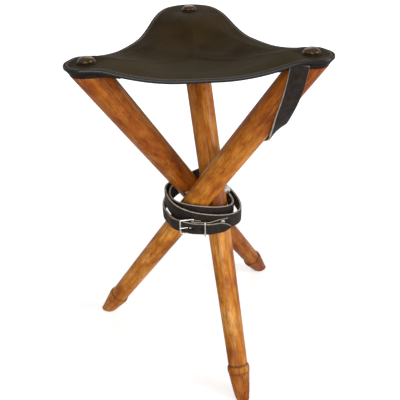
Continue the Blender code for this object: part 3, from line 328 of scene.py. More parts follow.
def make_wood():
    """Honey-brown body with slow mottling, dark streaks, lines, specks and flecks along the grain, a
    darkening stored on the points that is partly stain and partly painted shade, and painted shade in the
    turned grooves;
    all in the leg's lathe coordinates."""
    material, tree, shader = start_material("oiled_honey_wood")
    place = stored(tree, "lathe", "Vector")
    along = put(tree, "ShaderNodeSeparateXYZ", Vector=place).outputs["Z"]
    sway = put(tree, "ShaderNodeTexNoise", Vector=place, Scale=7.0, Detail=2.0).outputs["Color"]
    swayed = put(tree, "ShaderNodeVectorMath", {"operation": "MULTIPLY_ADD"}, at0=sway, at1=SWAY, at2=place)

    def grain(stretch, scale, detail, rough=0.55):
        drawn = put(tree, "ShaderNodeMapping", Vector=swayed.outputs[0], Scale=(1.0, 1.0, stretch)).outputs[0]
        return noise(tree, drawn, scale, detail, rough)

    mottle = grain(0.45, 48.0, 5.0, 0.65)
    streak = grain(0.05, 150.0, 4.0, 0.6)
    line = grain(0.020, 520.0, 2.0)
    speck = grain(0.30, 190.0, 5.0, 0.72)
    fleck = grain(0.20, 720.0, 2.0)
    cluster = grain(0.5, 26.0, 2.0)
    colour = ramp(tree, mottle, (
        (0.36, (0.320, 0.080, 0.006)), (0.46, (0.510, 0.165, 0.015)), (0.55, (0.650, 0.252, 0.034)),
        (0.68, (0.760, 0.375, 0.098))))
    for mark, low, high, most, dark in (
            (streak, 0.48, 0.68, 0.55, (0.230, 0.062, 0.008)),
            (line, 0.53, 0.68, 0.50, (0.120, 0.030, 0.004)),
            (speck, 0.46, 0.70, 0.55, (0.230, 0.060, 0.007))):
        colour = blend_colours(tree, rescale(tree, mark, low, high, 0.0, most), colour, dark)
    # Painted shade: the stored darkening is partly a real stain and partly shade from the seat and the other
    # legs.
    colour = blend_colours(tree, stored(tree, "stain_and_shade"), colour, (0.50, 0.34, 0.26), "MULTIPLY")
    flecked = sums(tree, "MULTIPLY", rescale(tree, fleck, 0.59, 0.66, 0.0, 0.85),
                   rescale(tree, cluster, 0.46, 0.62, 0.0, 1.0))
    colour = blend_colours(tree, flecked, colour, (0.040, 0.011, 0.003))
    # Painted shade: the colour is darkened in the two turned grooves at the bead.
    from_tip, from_bead = (
        sums(tree, "ABSOLUTE", sums(tree, "SUBTRACT", along, groove)) for groove in (TIP, TIP + BEAD))
    groove_shade = rescale(tree, sums(tree, "MINIMUM", from_tip, from_bead), *GROOVE_SHADE_REACH, 0.50, 0.0)
    feed(tree, shader, Base_Color=blend_colours(tree, groove_shade, colour, (0.060, 0.017, 0.005)),
         Roughness=rescale(tree, mottle, 0.3, 0.7, 0.38, 0.27), Specular_IOR_Level=0.14)
    bump(tree, shader, sums(tree, "MULTIPLY_ADD", fleck, -0.5, line), 0.15, 0.0004)
    return material


wood = make_wood()
print("finish:", wood.name, len(wood.node_tree.nodes), "nodes")

# %% [markdown]
# A leg is turned on a lathe: a foot that tapers to the floor, a bead over it, and a shaft that swells
# towards the seat. The two ends are then sawn level, which is why the rows next to them slide along the
# axis with the angle round the leg. A shoulder under the seat takes the leather pocket. A Screw modifier
# could turn the profile as well, but not with sawn ends.

# %% Legs: the turned shape
HUB_HEIGHT = 0.2378
TIP_RADII = (0.0095, 0.0145)
BEAD_RADIUS = 0.0154
ANKLE_RADIUS = 0.0132
HUB_RADIUS = 0.0162
TOP_RADIUS = 0.018
TENON_RADIUS = 0.0155
POCKET_DEPTH = 0.0068
TIP_CURVE = 0.8
LEG_SIDES = 72
TIP_ROWS, BEAD_ROWS, SHAFT_ROWS, END_ROWS = 16, 25, 60, 12
SAWN_LENGTH = 0.07
SAW_ROUNDS = 8
shaft_curve = np.polyfit(
    [TIP + BEAD, HUB_HEIGHT / LEAN, LEG_LENGTH], [ANKLE_RADIUS, HUB_RADIUS, TOP_RADIUS], 2)


def leg_radius(along):
    """Radius at a distance from the foot: a tapering tip, a bead that swells as a root of a sine, and a shaft
    that is a parabola through three radii."""
    tip = TIP_RADII[0] + (TIP_RADII[1] - TIP_RADII[0]) * np.clip(along / TIP, 0, 1) ** TIP_CURVE
    turn = np.clip((along - TIP) / BEAD, 0, 1)
    neck = TIP_RADII[1] * (1 - turn) + ANKLE_RADIUS * turn
    bead = neck + (BEAD_RADIUS - neck) * np.sqrt(np.sin(np.pi * turn))
    return np.where(along < TIP, tip, np.where(along < TIP + BEAD, bead, np.polyval(shaft_curve, along)))


def sawn(height, radius, turn):
    """Distance along the axis at which the surface of a given radius meets a level saw cut."""
    return (height + radius * np.sin(LEG_TILT) * np.cos(turn)) / LEAN


def leg_grid(name):
    """Rows from the middle of the foot face up to the middle of the leg end, each with one point per side."""
    turn = np.linspace(0, 2 * np.pi, LEG_SIDES + 1)
    low = np.zeros(LEG_SIDES + 1)
    shoulder = np.full(LEG_SIDES + 1, LEG_LENGTH)
    cut = TOP - POCKET_DEPTH - CLEARANCE
    for _ in range(SAW_ROUNDS):
        low = sawn(0.0, leg_radius(low), turn)
        shoulder = sawn(cut, leg_radius(shoulder), turn)
    last = LEG_LENGTH - SAWN_LENGTH
    tip = low + (TIP - low) * np.linspace(0, 1, TIP_ROWS)[:, None]
    bead = TIP + BEAD * (1 - np.cos(np.linspace(0, np.pi, BEAD_ROWS)[1:])) / 2
    shaft = np.linspace(TIP + BEAD, last, SHAFT_ROWS)[1:]
    bead, shaft = (np.repeat(rows[:, None], LEG_SIDES + 1, axis=1) for rows in (bead, shaft))
    end = last + (shoulder - last) * np.linspace(0, 1, END_ROWS)[1:, None]
    along = np.vstack((tip, bead, shaft, end))
    radius = leg_radius(along)
    tenon = np.full(LEG_SIDES + 1, TENON_RADIUS)
    along = np.vstack((np.zeros_like(turn), along, sawn(cut, tenon, turn), sawn(TOP, tenon, turn),
                       np.full_like(turn, LEG_LENGTH)))
    radius = np.vstack((np.zeros_like(turn), radius, tenon, tenon, np.zeros_like(turn)))
    axis, out, side = leg_ways(name)
    return axis_at(name, 0.0) + along[..., None] * axis + radius[..., None] * (
        np.cos(turn)[:, None] * out + np.sin(turn)[:, None] * side)


print("leg:", round(LEG_LENGTH * 1000), "mm along the axis,", LEG_SIDES, "sides")

# %% [markdown]
# Bores and counterbores for the bolt set come off last. Each leg is cut from another part of the board, so
# its lathe coordinates start at a place of their own. A darkening is read off along each leg's length: partly
# stain, where the oil has darkened the wood unevenly from foot to seat, and partly painted shade, where the
# seat and the other legs shade it.

# %% Legs: bore, finish and ride
BORE_REACH = 0.03
BOLT_RADIUS, BOLT_SINK_RADIUS, BOLT_FLOOR = 0.0043, 0.0095, 0.01282
EYE_RADIUS, EYE_SINK_RADIUS, EYE_FLOOR = 0.0033, 0.0075, 0.01406
FLANGE_RADIUS, FLANGE_FLOOR = 0.0060, 0.01475
bores = {
    "right": ((-bolt_axis, BOLT_RADIUS, -BORE_REACH), (-bolt_axis, BOLT_SINK_RADIUS, BOLT_FLOOR)),
    "left": ((bolt_axis, BOLT_RADIUS, -BORE_REACH), (bolt_axis, BOLT_SINK_RADIUS, BOLT_FLOOR)),
    "back": ((eye_axis, EYE_RADIUS, -BORE_REACH), (eye_axis, EYE_SINK_RADIUS, EYE_FLOOR),
             (-eye_axis, FLANGE_RADIUS, FLANGE_FLOOR)),
}
LATHE_STEP = {"right": 0.0, "back": 0.31, "left": 0.73}
STATIONS = (0.0, 0.03, 0.06, 0.12, 0.20, 0.26, 0.30, 0.36, 0.42, 0.47, 0.53)
# Darkening along each leg: partly stain, partly painted shade under the seat and where the other legs shade
# it.
STAIN_AND_SHADE = {
    "right": (0.20, 0.20, 0.10, 0.05, 0.05, 0.10, 0.05, 0.15, 0.40, 0.75, 0.95),
    "back": (0.85, 0.75, 0.35, 0.08, 0.05, 0.12, 0.30, 0.45, 0.65, 0.85, 1.00),
    "left": (1.00, 0.95, 0.85, 0.80, 0.80, 0.85, 0.80, 0.85, 0.85, 0.80, 0.75),
}
for name in AZIMUTH:
    mesh = close_up(grid_mesh("turned_leg_" + name, leg_grid(name)))
    mesh = bored(mesh, [rod(crossing[name], *bore, BORE_REACH) for bore in bores[name]])
    axis, out, side = leg_ways(name)
    lathe = (mesh_points(mesh) - axis_at(name, 0.0)) @ np.column_stack((out, side, axis))
    lathe[:, :2] += LATHE_STEP[name]
    store(mesh, "lathe", lathe)
    store(mesh, "stain_and_shade", np.interp(lathe[:, 2], STATIONS, STAIN_AND_SHADE[name]))
    leg = add_piece(mesh, wood)
    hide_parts("leg_" + name)
    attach(leg, BODY[name])
    print("leg", name, len(mesh.polygons), "faces")

# %% [markdown]
# Leather shows a fine pebble of grain, slow changes of tone and a soft sheen where hands and coats have
# rubbed it. Seat, pockets and straps are cut from different hides, but the grain works the same way in all
# of them, so it is one node group, and each finish sets its scale.

# %% Finish: leather grain shared by every hide
def start_group(name, results):
    """An empty shader node group that takes a place and a scale and gives some numbers."""
    tree = bpy.data.node_groups.new(name, "ShaderNodeTree")
    for socket, kind in (("Vector", "NodeSocketVector"), ("Scale", "NodeSocketFloat")):
        tree.interface.new_socket(socket, in_out="INPUT", socket_type=kind)
    for socket in results:
        tree.interface.new_socket(socket, in_out="OUTPUT", socket_type="NodeSocketFloat")
    takes, gives = tree.nodes.new("NodeGroupInput"), tree.nodes.new("NodeGroupOutput")
    return tree, takes.outputs["Vector"], takes.outputs["Scale"], gives


def use_group(tree, group, scale):
    """What a node group gives, on the piece's own coordinates."""
    place = put(tree, "ShaderNodeTexCoord").outputs["Object"]
    return put(tree, "ShaderNodeGroup", {"node_tree": group}, Vector=place, Scale=scale).outputs


def make_hide_grain():
    tree, place, scale, gives = start_group("hide_grain", ("Height", "Mottle", "Rub"))
    pebble = put(tree, "ShaderNodeTexVoronoi", {"feature": "SMOOTH_F1"}, Vector=place, Scale=scale,
                 Smoothness=0.6).outputs["Distance"]
    fine, wrinkle, slow = (
        noise(tree, place, sums(tree, "MULTIPLY", scale, share), detail)
        for share, detail in ((2.3, 3.0), (0.16, 4.0), (0.02, 3.0)))
    height = sums(tree, "MULTIPLY_ADD", wrinkle, 0.8, sums(tree, "MULTIPLY_ADD", fine, 0.5, pebble))
    feed(tree, gives, Height=height, Mottle=rescale(tree, wrinkle, 0.35, 0.65, 0.0, 1.0),
         Rub=rescale(tree, slow, 0.38, 0.64, 0.0, 1.0))
    return tree


hide_grain = make_hide_grain()
print("group:", hide_grain.name, len(hide_grain.nodes), "nodes")

# %% [markdown]
# The seat is a dark olive-brown hide with waxed edges, and the strips under its corners are darker still.
# The grain's own numbers mix the colours and smooth the hide where it is rubbed. The pebble stays a bump,
# because it is far too fine for the mesh.

# %% Finishes: seat and corner strips
SEAT_GRAIN = 900.0
EDGE_WAX = 0.5


def start_hide(name, scale):
    """A material with the leather grain in it."""
    material, tree, shader = start_material(name)
    return material, tree, shader, use_group(tree, hide_grain, scale)


def make_seat_hide():
    """Dark olive brown, browner where it is worn, paler where painted sheen is stored on the points, with
    dark waxed edges where edge is."""
    material, tree, shader, grain = start_hide("seat_hide", SEAT_GRAIN)
    tone = blend_colours(tree, grain["Mottle"], (0.027, 0.0172, 0.0070), (0.036, 0.0230, 0.0095))
    worn = blend_colours(tree, grain["Rub"], tone, (0.050, 0.0315, 0.0125))
    # Painted sheen: the front panel is made paler where its stored share says so.
    with_painted_sheen = blend_colours(tree, stored(tree, "painted_sheen"), worn, (0.058, 0.0435, 0.0215))
    edge = stored(tree, "edge")
    rough = rescale(tree, grain["Rub"], 0.0, 1.0, 0.52, 0.42)
    feed(tree, shader, Base_Color=blend_colours(tree, edge, with_painted_sheen, (0.007, 0.005, 0.0045)),
         Roughness=sums(tree, "MULTIPLY_ADD", edge, -0.10, rough), Specular_IOR_Level=0.005,
         Coat_Weight=sums(tree, "MULTIPLY", edge, EDGE_WAX), Coat_Roughness=0.22)
    bump(tree, shader, grain["Height"], 0.20, 0.0005)
    return material


def make_welt_hide():
    """The dark, waxed strip under the corners."""
    material, tree, shader, grain = start_hide("welt_hide", SEAT_GRAIN)
    feed(tree, shader,
         Base_Color=blend_colours(tree, grain["Mottle"], (0.010, 0.007, 0.0065), (0.017, 0.012, 0.0105)),
         Roughness=rescale(tree, grain["Rub"], 0.0, 1.0, 0.45, 0.35), Specular_IOR_Level=0.06)
    bump(tree, shader, grain["Height"], 0.18, 0.0005)
    return material


seat_hide = make_seat_hide()
welt_hide = make_welt_hide()
print("finishes:", seat_hide.name, welt_hide.name)

# %% [markdown]
# The seat is one hide, hung from the three leg ends. It is level round each stud, falls away from there,
# and is lowest round the middle; use has left a soft fold from each corner to the middle. Cloth simulation
# could sag a flat sheet, but thick saddle leather keeps its shape, so a height over the plan says it
# better.

# %% Seat: the height over the plan
ORDER = ("right", "back", "left")
corners = np.array([axis_at(name, TOP)[:2] for name in ORDER])
middle = corners.mean(axis=0)
SEAT_LOW = TOP + CLEARANCE
SAG = 0.0165
DISH, DISH_FULL = 0.011, 27.0
SLOPE_LENGTH = 0.076
CORNER_FLATS = (0.0262, 0.040, 0.0262)
CORNER_SOFTS = (0.08, 0.25, 0.08)
FOLD_HEIGHTS = (0.0065, 0.0030, 0.0065)
FOLD_WIDTHS = (0.022, 0.010, 0.022)
FOLD_ROUND = 0.002
FOLD_STOP, FOLD_FADE = 0.012, 0.06


def smoothstep(value):
    value = np.clip(value, 0, 1)
    return value * value * (3 - 2 * value)


def corner_shares(points):
    """Shares of the three corners at plan points: one at its own corner, and adding to one."""
    spread = np.column_stack((corners[0] - corners[2], corners[1] - corners[2]))
    first = (points - corners[2]) @ np.linalg.inv(spread).T
    return np.concatenate((first, 1 - first.sum(axis=-1, keepdims=True)), axis=-1)


def seat_folds(points):
    """Rise of the folds that run from the middle to the corners: each falls off exponentially to both
    sides of its line, and the highest of the three counts."""
    offset = points - middle
    rise = np.zeros(points.shape[:-1])
    for place, high, wide in zip(corners, FOLD_HEIGHTS, FOLD_WIDTHS):
        way = unit(place - middle)
        along = offset @ way
        beside = np.abs(offset @ np.array((-way[1], way[0])))
        across = np.where(along > 0, beside, np.linalg.norm(offset, axis=-1))
        window = smoothstep((np.linalg.norm(place - middle) - FOLD_STOP - along) / FOLD_FADE)
        fall = np.exp(-(np.sqrt(across ** 2 + FOLD_ROUND ** 2) - FOLD_ROUND) / wide)
        rise = np.maximum(rise, high * window * fall)
    return rise


def seat_underside(points):
    """Height of the hide's lower face: level at each leg end, drawn down along the edges and more in the
    middle by the product of the corners' shares, with the folds on it."""
    drop = SAG + DISH * DISH_FULL * np.clip(corner_shares(points), 0, 1).prod(axis=-1)
    for place, flat, soft in zip(corners, CORNER_FLATS, CORNER_SOFTS):
        reach = (np.linalg.norm(points - place, axis=-1) - flat) / SLOPE_LENGTH
        share = np.clip(np.where(reach < soft, np.clip(reach + soft, 0, None) ** 2 / (4 * soft), reach), 0, 1)
        drop = drop * (1 - (1 - share) ** 2)
    return SEAT_LOW - drop + seat_folds(points)


print("seat: middle", round(float(SEAT_LOW - seat_underside(middle)) * 1000, 1), "mm below the leg ends")

# %% [markdown]
# In plan the hide is three kites, one for each corner, that meet in the middle of the seat and in the middle
# of its edges. A kite's outline runs along half an edge, round its corner and along half the next edge. The
# edges are drawn in a little, as a hide that hangs from its corners is; a plain rounded triangle would look
# stiff.

# %% Seat: the outline of one corner's kite
CORNER_RADII = (0.0225, 0.040, 0.0225)
EDGE_DRAWS = (0.010, 0.010, 0.0015)
HALF_EDGE_POINTS = 46
ARC_POINTS = 41


def edge_outward(start, end):
    along = unit(end - start)
    return np.array((along[1], -along[0]))


def corner_turn(index):
    """The corner before this one, this one and the one after, the outward ways of the edges between them, and
    the angles of outward ways as they turn from the first edge to the second."""
    before, here, after = corners[index - 1], corners[index], corners[(index + 1) % 3]
    outs = edge_outward(before, here), edge_outward(here, after)
    start, end = (np.arctan2(out[1], out[0]) for out in outs)
    return before, here, after, *outs, start + (end - start) % (2 * np.pi) * np.linspace(0, 1, ARC_POINTS)


def outward_ways(out_before, around, out_after, count):
    """Outward ways along a first edge, round its corner and along the next edge."""
    return np.vstack((np.tile(out_before, (count, 1)), around, np.tile(out_after, (count, 1))))


def kite_outline(index):
    """Plan outline of one kite, from mid edge over its corner to the next mid edge, with outward normals: the
    edges run at a distance outside the line between the studs, less a draw that is a squared sine."""
    before, here, after, out_before, out_after, turn = corner_turn(index)
    around = plan_ways(turn)[1:-1]
    first = np.linspace(0.5, 1.0, HALF_EDGE_POINTS)[:, None]
    last = np.linspace(0.0, 0.5, HALF_EDGE_POINTS)[:, None]
    radius_before, radius, radius_after = (CORNER_RADII[(index + step) % 3] for step in (-1, 0, 1))
    reach_first = radius_before + (radius - radius_before) * first
    reach_first = reach_first - EDGE_DRAWS[index - 1] * np.sin(np.pi * first) ** 2
    reach_last = radius + (radius_after - radius) * last - EDGE_DRAWS[index] * np.sin(np.pi * last) ** 2
    lines = (before + (here - before) * first + out_before * reach_first, here + radius * around,
             here + (after - here) * last + out_after * reach_last)
    return np.vstack(lines), outward_ways(out_before, around, out_after, HALF_EDGE_POINTS)


print("seat: studs", round(float(np.linalg.norm(corners[0] - corners[1])) * 1000), "mm apart")

# %% [markdown]
# A kite's grid runs from the middle out over the top, round the edge and back below. The edge is turned
# over with a small radius and has a creased line beside it, as a saddler's edge tool leaves it, and the stud
# presses a shallow dent into the hide. A bump could feign these, but then the mesh itself would lack them.

# %% Seat: the grid of one kite
SEAT_THICKNESS = 0.004
EDGE_ROUND = 0.0016
CREASE_INSET = 0.0042
CREASE_DEPTH = 0.00035
CREASE_WIDTH = 0.0007
STUD_INSET = 0.0025
STUD_RADIUS = 0.0094
PRESS = 0.0005
DENT_WIDTH = 0.004
FINE_BAND = 0.008
FINE_ROWS, COARSE_ROWS, ROUND_ROWS = 27, 56, 13


def crease_bell(inset):
    """One on the creased line and soon zero on both sides of it, by the distance from the edge."""
    return np.exp(-((inset - CREASE_INSET) / CREASE_WIDTH) ** 2)


def stud_place(index):
    """Plan place of a corner's stud, a little inside the leg end."""
    return corners[index] - unit(corners[index] - middle) * STUD_INSET


def raised(plan, height):
    """Plan points with their heights."""
    return np.concatenate((plan, height[..., None]), axis=-1)


def seat_top(points, inset, index):
    """Height of the grain side: the underside and the hide's thickness, less the creased line beside the edge
    and the dent that the stud presses in, both bell curves."""
    from_stud = np.linalg.norm(points - stud_place(index), axis=-1)
    dent = PRESS * np.exp(-((from_stud - STUD_RADIUS) / DENT_WIDTH) ** 2)
    return seat_underside(points) + SEAT_THICKNESS - CREASE_DEPTH * crease_bell(inset) - dent


def kite_grid(index):
    """Rows: from the middle out over the top, round the edge, and back to the middle below."""
    outline, outward = kite_outline(index)
    rim = outline - outward * EDGE_ROUND
    depth = ((rim - middle) * outward).sum(axis=1)
    fine = np.linspace(FINE_BAND, 0, FINE_ROWS)[:, None]
    coarse = np.linspace(0, 1, COARSE_ROWS)[:-1, None] * (1 - FINE_BAND / depth)
    share = np.vstack((coarse, 1 - fine / depth))
    plan = middle + (rim - middle) * share[..., None]
    top = raised(plan, seat_top(plan, (1 - share) * depth, index))
    below = raised(plan, seat_underside(plan))
    turn = np.linspace(0, np.pi, ROUND_ROWS)[1:-1, None]
    level = (top[-1, :, 2] + below[-1, :, 2]) / 2
    half = (top[-1, :, 2] - below[-1, :, 2]) / 2
    bulge = rim + outward * EDGE_ROUND * np.sqrt(np.sin(turn))[..., None]
    edge = raised(bulge, level + half * np.cos(turn))
    return np.concatenate((top, edge, below[::-1]))


print("kite:", len(kite_grid(0)), "rows of", kite_grid(0).shape[1], "points")

# %% [markdown]
# The finish has to know two things about a point of the hide: whether it lies on the burnished edge or the
# creased line, and whether it lies on the front panel, which is painted paler as a sheen. Both follow from
# the plan, so they are worked out and stored on the points.

# %% Seat: shades to store on the hide
CREASE_SHADE = 0.6
EDGE_SHADE, EDGE_SHADE_FADE = 1.2 * EDGE_ROUND, 0.6 * EDGE_ROUND
# Painted sheen: how much paler the front panel is painted, and how soft the border of that band is.
PAINTED_SHEEN, PAINTED_SHEEN_FADE = 0.9, 0.08


def edge_share(mesh, index):
    """One on the burnished edge, less on the creased line beside it and zero inside, from the distance to the
    nearest point of the outline."""
    plan = mesh_points(mesh)[:, :2]
    outline, outward = kite_outline(index)
    near = np.argmin(((plan[:, None] - outline[None]) ** 2).sum(axis=2), axis=1)
    inset = ((outline[near] - plan) * outward[near]).sum(axis=1)
    edge = smoothstep((EDGE_SHADE - inset) / EDGE_SHADE_FADE)
    return np.maximum(edge, CREASE_SHADE * crease_bell(inset))


def painted_sheen_share(mesh):
    """How far the front panel is painted paler as a sheen: not at all behind the folds to the two side
    corners, and more and more in front of them, where the back corner's share is the least of the three."""
    right, back, left = corner_shares(mesh_points(mesh)[:, :2]).T
    return PAINTED_SHEEN * smoothstep((np.minimum(right, left) - back) / PAINTED_SHEEN_FADE)


print("shades: edge and rub")

# %% [markdown]
# Each kite is split along its fold into two closed halves.


def side_wall(grid, column, rows):
    """The hidden wall of a half: it joins the top and lower points of one outer line of its grid."""
    line = grid[:, column]
    return np.stack((line[:rows], line[::-1][:rows]), axis=0)


def joined(name, grids):
    """One mesh of several grids, whose touching borders are joined later."""
    shape = bmesh.new()
    for grid in grids:
        part = grid_mesh(name, grid)
        shape.from_mesh(part)
        bpy.data.meshes.remove(part)
    mesh = bpy.data.meshes.new(name)
    shape.to_mesh(mesh)
    shape.free()
    return mesh


for index, name in enumerate(ORDER):
    whole = kite_grid(index)
    rim_row = (len(whole) + 1) // 2
    split = whole.shape[1] // 2
    for side, grid in (("before", whole[:, :split + 1]), ("after", whole[:, split:])):
        walls = (side_wall(grid, 0, rim_row), side_wall(grid, -1, rim_row))
        mesh = close_up(joined("seat_hide_" + name + "_" + side, (grid, *walls)), crisp=60.0)
        store(mesh, "edge", edge_share(mesh, index))
        store(mesh, "painted_sheen", painted_sheen_share(mesh))
        half = add_piece(mesh, seat_hide)
        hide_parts("seat_leather")
        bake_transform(half)
        print("seat half", name, side, len(mesh.polygons), "faces")

# %% [markdown]
# Under each corner a strip of darker hide goes round the leg end and runs out below the seat's edges. It is
# a flat wall bent along a path in plan, so a rounded section carried along that path makes it. A bent plane
# with a Solidify modifier would have square edges. The wall leans with the leg, which a shift that grows with
# the distance below the leg end gives.

# %% Seat: corner pockets
POCKET_THICKNESS = 0.0022
ARM_LENGTH = 0.036
ARM_END_DEPTH = 0.004
ARM_MARGIN = 0.0013
ARM_EASE = 6
POCKET_ROUND = 0.0009
ARM_POINTS = 16


def pocket_path(name):
    """Plan points of the wall's inner face: an ellipse round the sloping leg end, with a straight arm each
    way. Also the outward normals, each point's share of the way along an arm, and the leg's lean."""
    before, here, after, out_before, out_after, facing = corner_turn(ORDER.index(name))
    turn = facing - AZIMUTH[name]
    short = TENON_RADIUS + CLEARANCE
    long = short / LEAN
    support = np.hypot(long * np.cos(turn), short * np.sin(turn))
    tilt_way = plan_ways(AZIMUTH[name])
    side_way = np.array((-tilt_way[1], tilt_way[0]))
    arc = here + np.outer(long ** 2 * np.cos(turn) / support, tilt_way) \
        + np.outer(short ** 2 * np.sin(turn) / support, side_way)
    out = np.linspace(0, 1, ARM_POINTS + 1)[1:]
    first = arc[0] - np.outer(out[::-1] * ARM_LENGTH, unit(here - before))
    last = arc[-1] + np.outer(out * ARM_LENGTH, unit(after - here))
    normals = outward_ways(out_before, plan_ways(facing), out_after, ARM_POINTS)
    arm = np.concatenate((out[::-1], np.zeros(ARC_POINTS), out))
    return np.vstack((first, arc, last)), normals, arm, tilt_way


def capped(grid, first, last):
    """A grid closed to a point at both ends."""
    return np.concatenate((0 * grid[:1] + first, grid, 0 * grid[:1] + last))


def pocket_grid(name):
    """A section with a round lower edge, carried along the path and closed to a point at both ends."""
    path, normals, arm, tilt_way = pocket_path(name)
    top = seat_underside(path) - CLEARANCE - ARM_MARGIN * smoothstep(arm * ARM_EASE)
    low = np.where(arm > 0, top - POCKET_DEPTH - (ARM_END_DEPTH - POCKET_DEPTH) * arm, TOP - POCKET_DEPTH)
    turn = np.linspace(np.pi, 2 * np.pi, 11)
    half = POCKET_THICKNESS / 2
    off = np.concatenate(([0.0, 0.0], half + half * np.cos(turn), [POCKET_THICKNESS, POCKET_THICKNESS, 0.0]))
    rise = np.concatenate(([1.0, 0.5], np.zeros(len(turn)), [0.5, 1.0, 1.0]))
    round_off = np.concatenate(([0.0, 0.0], POCKET_ROUND * (1 + np.sin(turn)), [0.0, 0.0, 0.0]))
    height = low[:, None] + (top - low)[:, None] * rise + round_off
    plan = path[:, None] + normals[:, None] * off[None, :, None]
    plan = plan + ((height - TOP) * SHIFT)[..., None] * tilt_way
    grid = raised(plan, height)
    return capped(grid, grid[0].mean(axis=0), grid[-1].mean(axis=0))


for name in ORDER:
    mesh = close_up(grid_mesh("pocket_" + name, pocket_grid(name)), crisp=50.0)
    pocket = add_piece(mesh, welt_hide)
    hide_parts("corner_pocket_" + name)
    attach(pocket, BODY[name])
    print("pocket", name, len(pocket.data.polygons), "faces")

# %% [markdown]
# Three metals hold the stool together: aged bronze studs, bright nickel at the buckle and zinc-bright steel
# at the bolt. Each is scratched and dulled a little, and that wear is the same kind of mark at another
# scale, so a node group makes it once.

# %% Finishes: bronze, nickel and steel
def make_metal_wear():
    tree, place, scale, gives = start_group("metal_wear", ("Tarnish", "Scratch"))
    dull = noise(tree, place, scale, 5.0, 0.65)
    drawn = put(tree, "ShaderNodeMapping", Vector=place, Rotation=(0.4, 0.7, 0.9), Scale=(1.0, 9.0, 1.0))
    scratch = noise(tree, drawn.outputs[0], sums(tree, "MULTIPLY", scale, 3.0), 3.0)
    feed(tree, gives, Tarnish=rescale(tree, dull, 0.40, 0.66, 0.0, 1.0),
         Scratch=rescale(tree, scratch, 0.45, 0.75, 0.0, 1.0))
    return tree


metal_wear = make_metal_wear()


def make_metal(name, clean, dull, roughness, scale, bare=1.0):
    """A metal whose colour goes from clean to dull and whose polish varies over two roughnesses. A dark crust
    that covers it takes its bare share down."""
    material, tree, shader = start_material(name)
    wear = use_group(tree, metal_wear, scale)
    feed(tree, shader, Base_Color=blend_colours(tree, wear["Tarnish"], clean, dull), Metallic=bare,
         Roughness=rescale(tree, wear["Tarnish"], 0.0, 1.0, *roughness), Specular_IOR_Level=0.03)
    bump(tree, shader, wear["Scratch"], 0.12, 0.0002)
    return material


bronze = make_metal("aged_bronze", (0.080, 0.050, 0.024), (0.036, 0.023, 0.013), (0.16, 0.30), 420.0, 0.7)
blackened = make_metal(
    "blackened_bronze", (0.034, 0.021, 0.014), (0.016, 0.011, 0.008), (0.36, 0.50), 420.0, 0.0)
nickel = make_metal("bright_nickel", (0.78, 0.76, 0.72), (0.58, 0.55, 0.50), (0.16, 0.34), 500.0)
steel = make_metal("zinc_steel", (0.70, 0.70, 0.69), (0.50, 0.50, 0.48), (0.22, 0.40), 400.0)
print("finishes:", bronze.name, blackened.name, nickel.name, steel.name)

# %% [markdown]
# A domed stud with a petalled rosette under it pins the hide to each leg end. Both are turned shapes, but
# the rosette's rim swings in and out with the angle, which a lathe can't do, so its radius is a wave of the
# angle.

# %% Studs and rosettes
STUD_HEIGHT = 0.005
STUD_RIM = 0.0006
ROSETTE_RADIUS = 0.01075
ROSETTE_THICKNESS = 0.0012
PETALS = 16
PETAL_NOTCH, PETAL_DIP, ROSETTE_FALL = 0.055, 0.22, 0.75
TOP_ROWS, UNDER_ROWS = 15, 6
STUD_SIDES = 96
rosette_low = SEAT_LOW + SEAT_THICKNESS + CLEARANCE - PRESS
dome_low = SEAT_LOW + SEAT_THICKNESS + 2 * CLEARANCE + ROSETTE_THICKNESS


def stud_profile():
    """A low dome with a rolled rim, then back under it to the middle."""
    turn = np.linspace(0, np.pi / 2, 25)
    inside, rise = STUD_RADIUS - STUD_RIM, STUD_HEIGHT - STUD_RIM
    dome = np.column_stack((inside * np.sin(turn), STUD_RIM + rise * np.cos(turn)))
    roll = np.linspace(np.pi / 2, -np.pi / 2, 9)[1:]
    rim = np.column_stack((inside + STUD_RIM * np.cos(roll), STUD_RIM / 2 * (1 + np.sin(roll))))
    return np.vstack((dome, rim, ((0.0, 0.0),)))


def rosette_grid(centre):
    """Radius share and angle: the rim's radius and the height both ripple with the petals."""
    share = np.concatenate((np.linspace(0, 1, TOP_ROWS), np.linspace(1, 0, UNDER_ROWS)))[:, None]
    under = np.concatenate((np.zeros(TOP_ROWS), np.ones(UNDER_ROWS)))[:, None]
    turn = np.linspace(0, 2 * np.pi, STUD_SIDES + 1)
    wave = np.abs(np.cos(PETALS * turn / 2))
    radius = ROSETTE_RADIUS * share * (1 - PETAL_NOTCH * (1 - wave) * share ** 4)
    crown = ROSETTE_THICKNESS * (1 - ROSETTE_FALL * share ** 5) * (1 - PETAL_DIP * (1 - wave) * share ** 3)
    height = (PRESS + crown) * (1 - under)
    return centre + raised(radius[..., None] * plan_ways(turn), height + 0 * turn)


for index, name in enumerate(ORDER):
    place = stud_place(index)
    dome = turned("stud_dome_" + name, stud_profile(), np.append(place, dome_low), *np.eye(3), STUD_SIDES)
    rosette = grid_mesh("rosette_" + name, rosette_grid(np.append(place, rosette_low)))
    for mesh, node, finish in ((dome, "stud_", bronze), (rosette, "stud_rosette_", blackened)):
        piece = add_piece(close_up(mesh, crisp=55.0), finish)
        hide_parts(node + name)
        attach(piece, BODY[name])
print("studs:", len(ORDER), "domes on rosettes with", PETALS, "petals")

# %% [markdown]
# The carry strap is one long piece of hide. It hangs from the right corner, slips down the front of the
# right leg, passes to the leg's far side and winds round the crossing, and its narrow end goes through the
# buckle. The route is the solid strap's in finer steps, but its upper end goes further up under the seat. It
# needs two helpers: a smooth line through given points, and the legs' reach from the hub in each direction.

# %% Straps: smooth lines and the legs' reach
STRAP_WIDTH = 0.0205


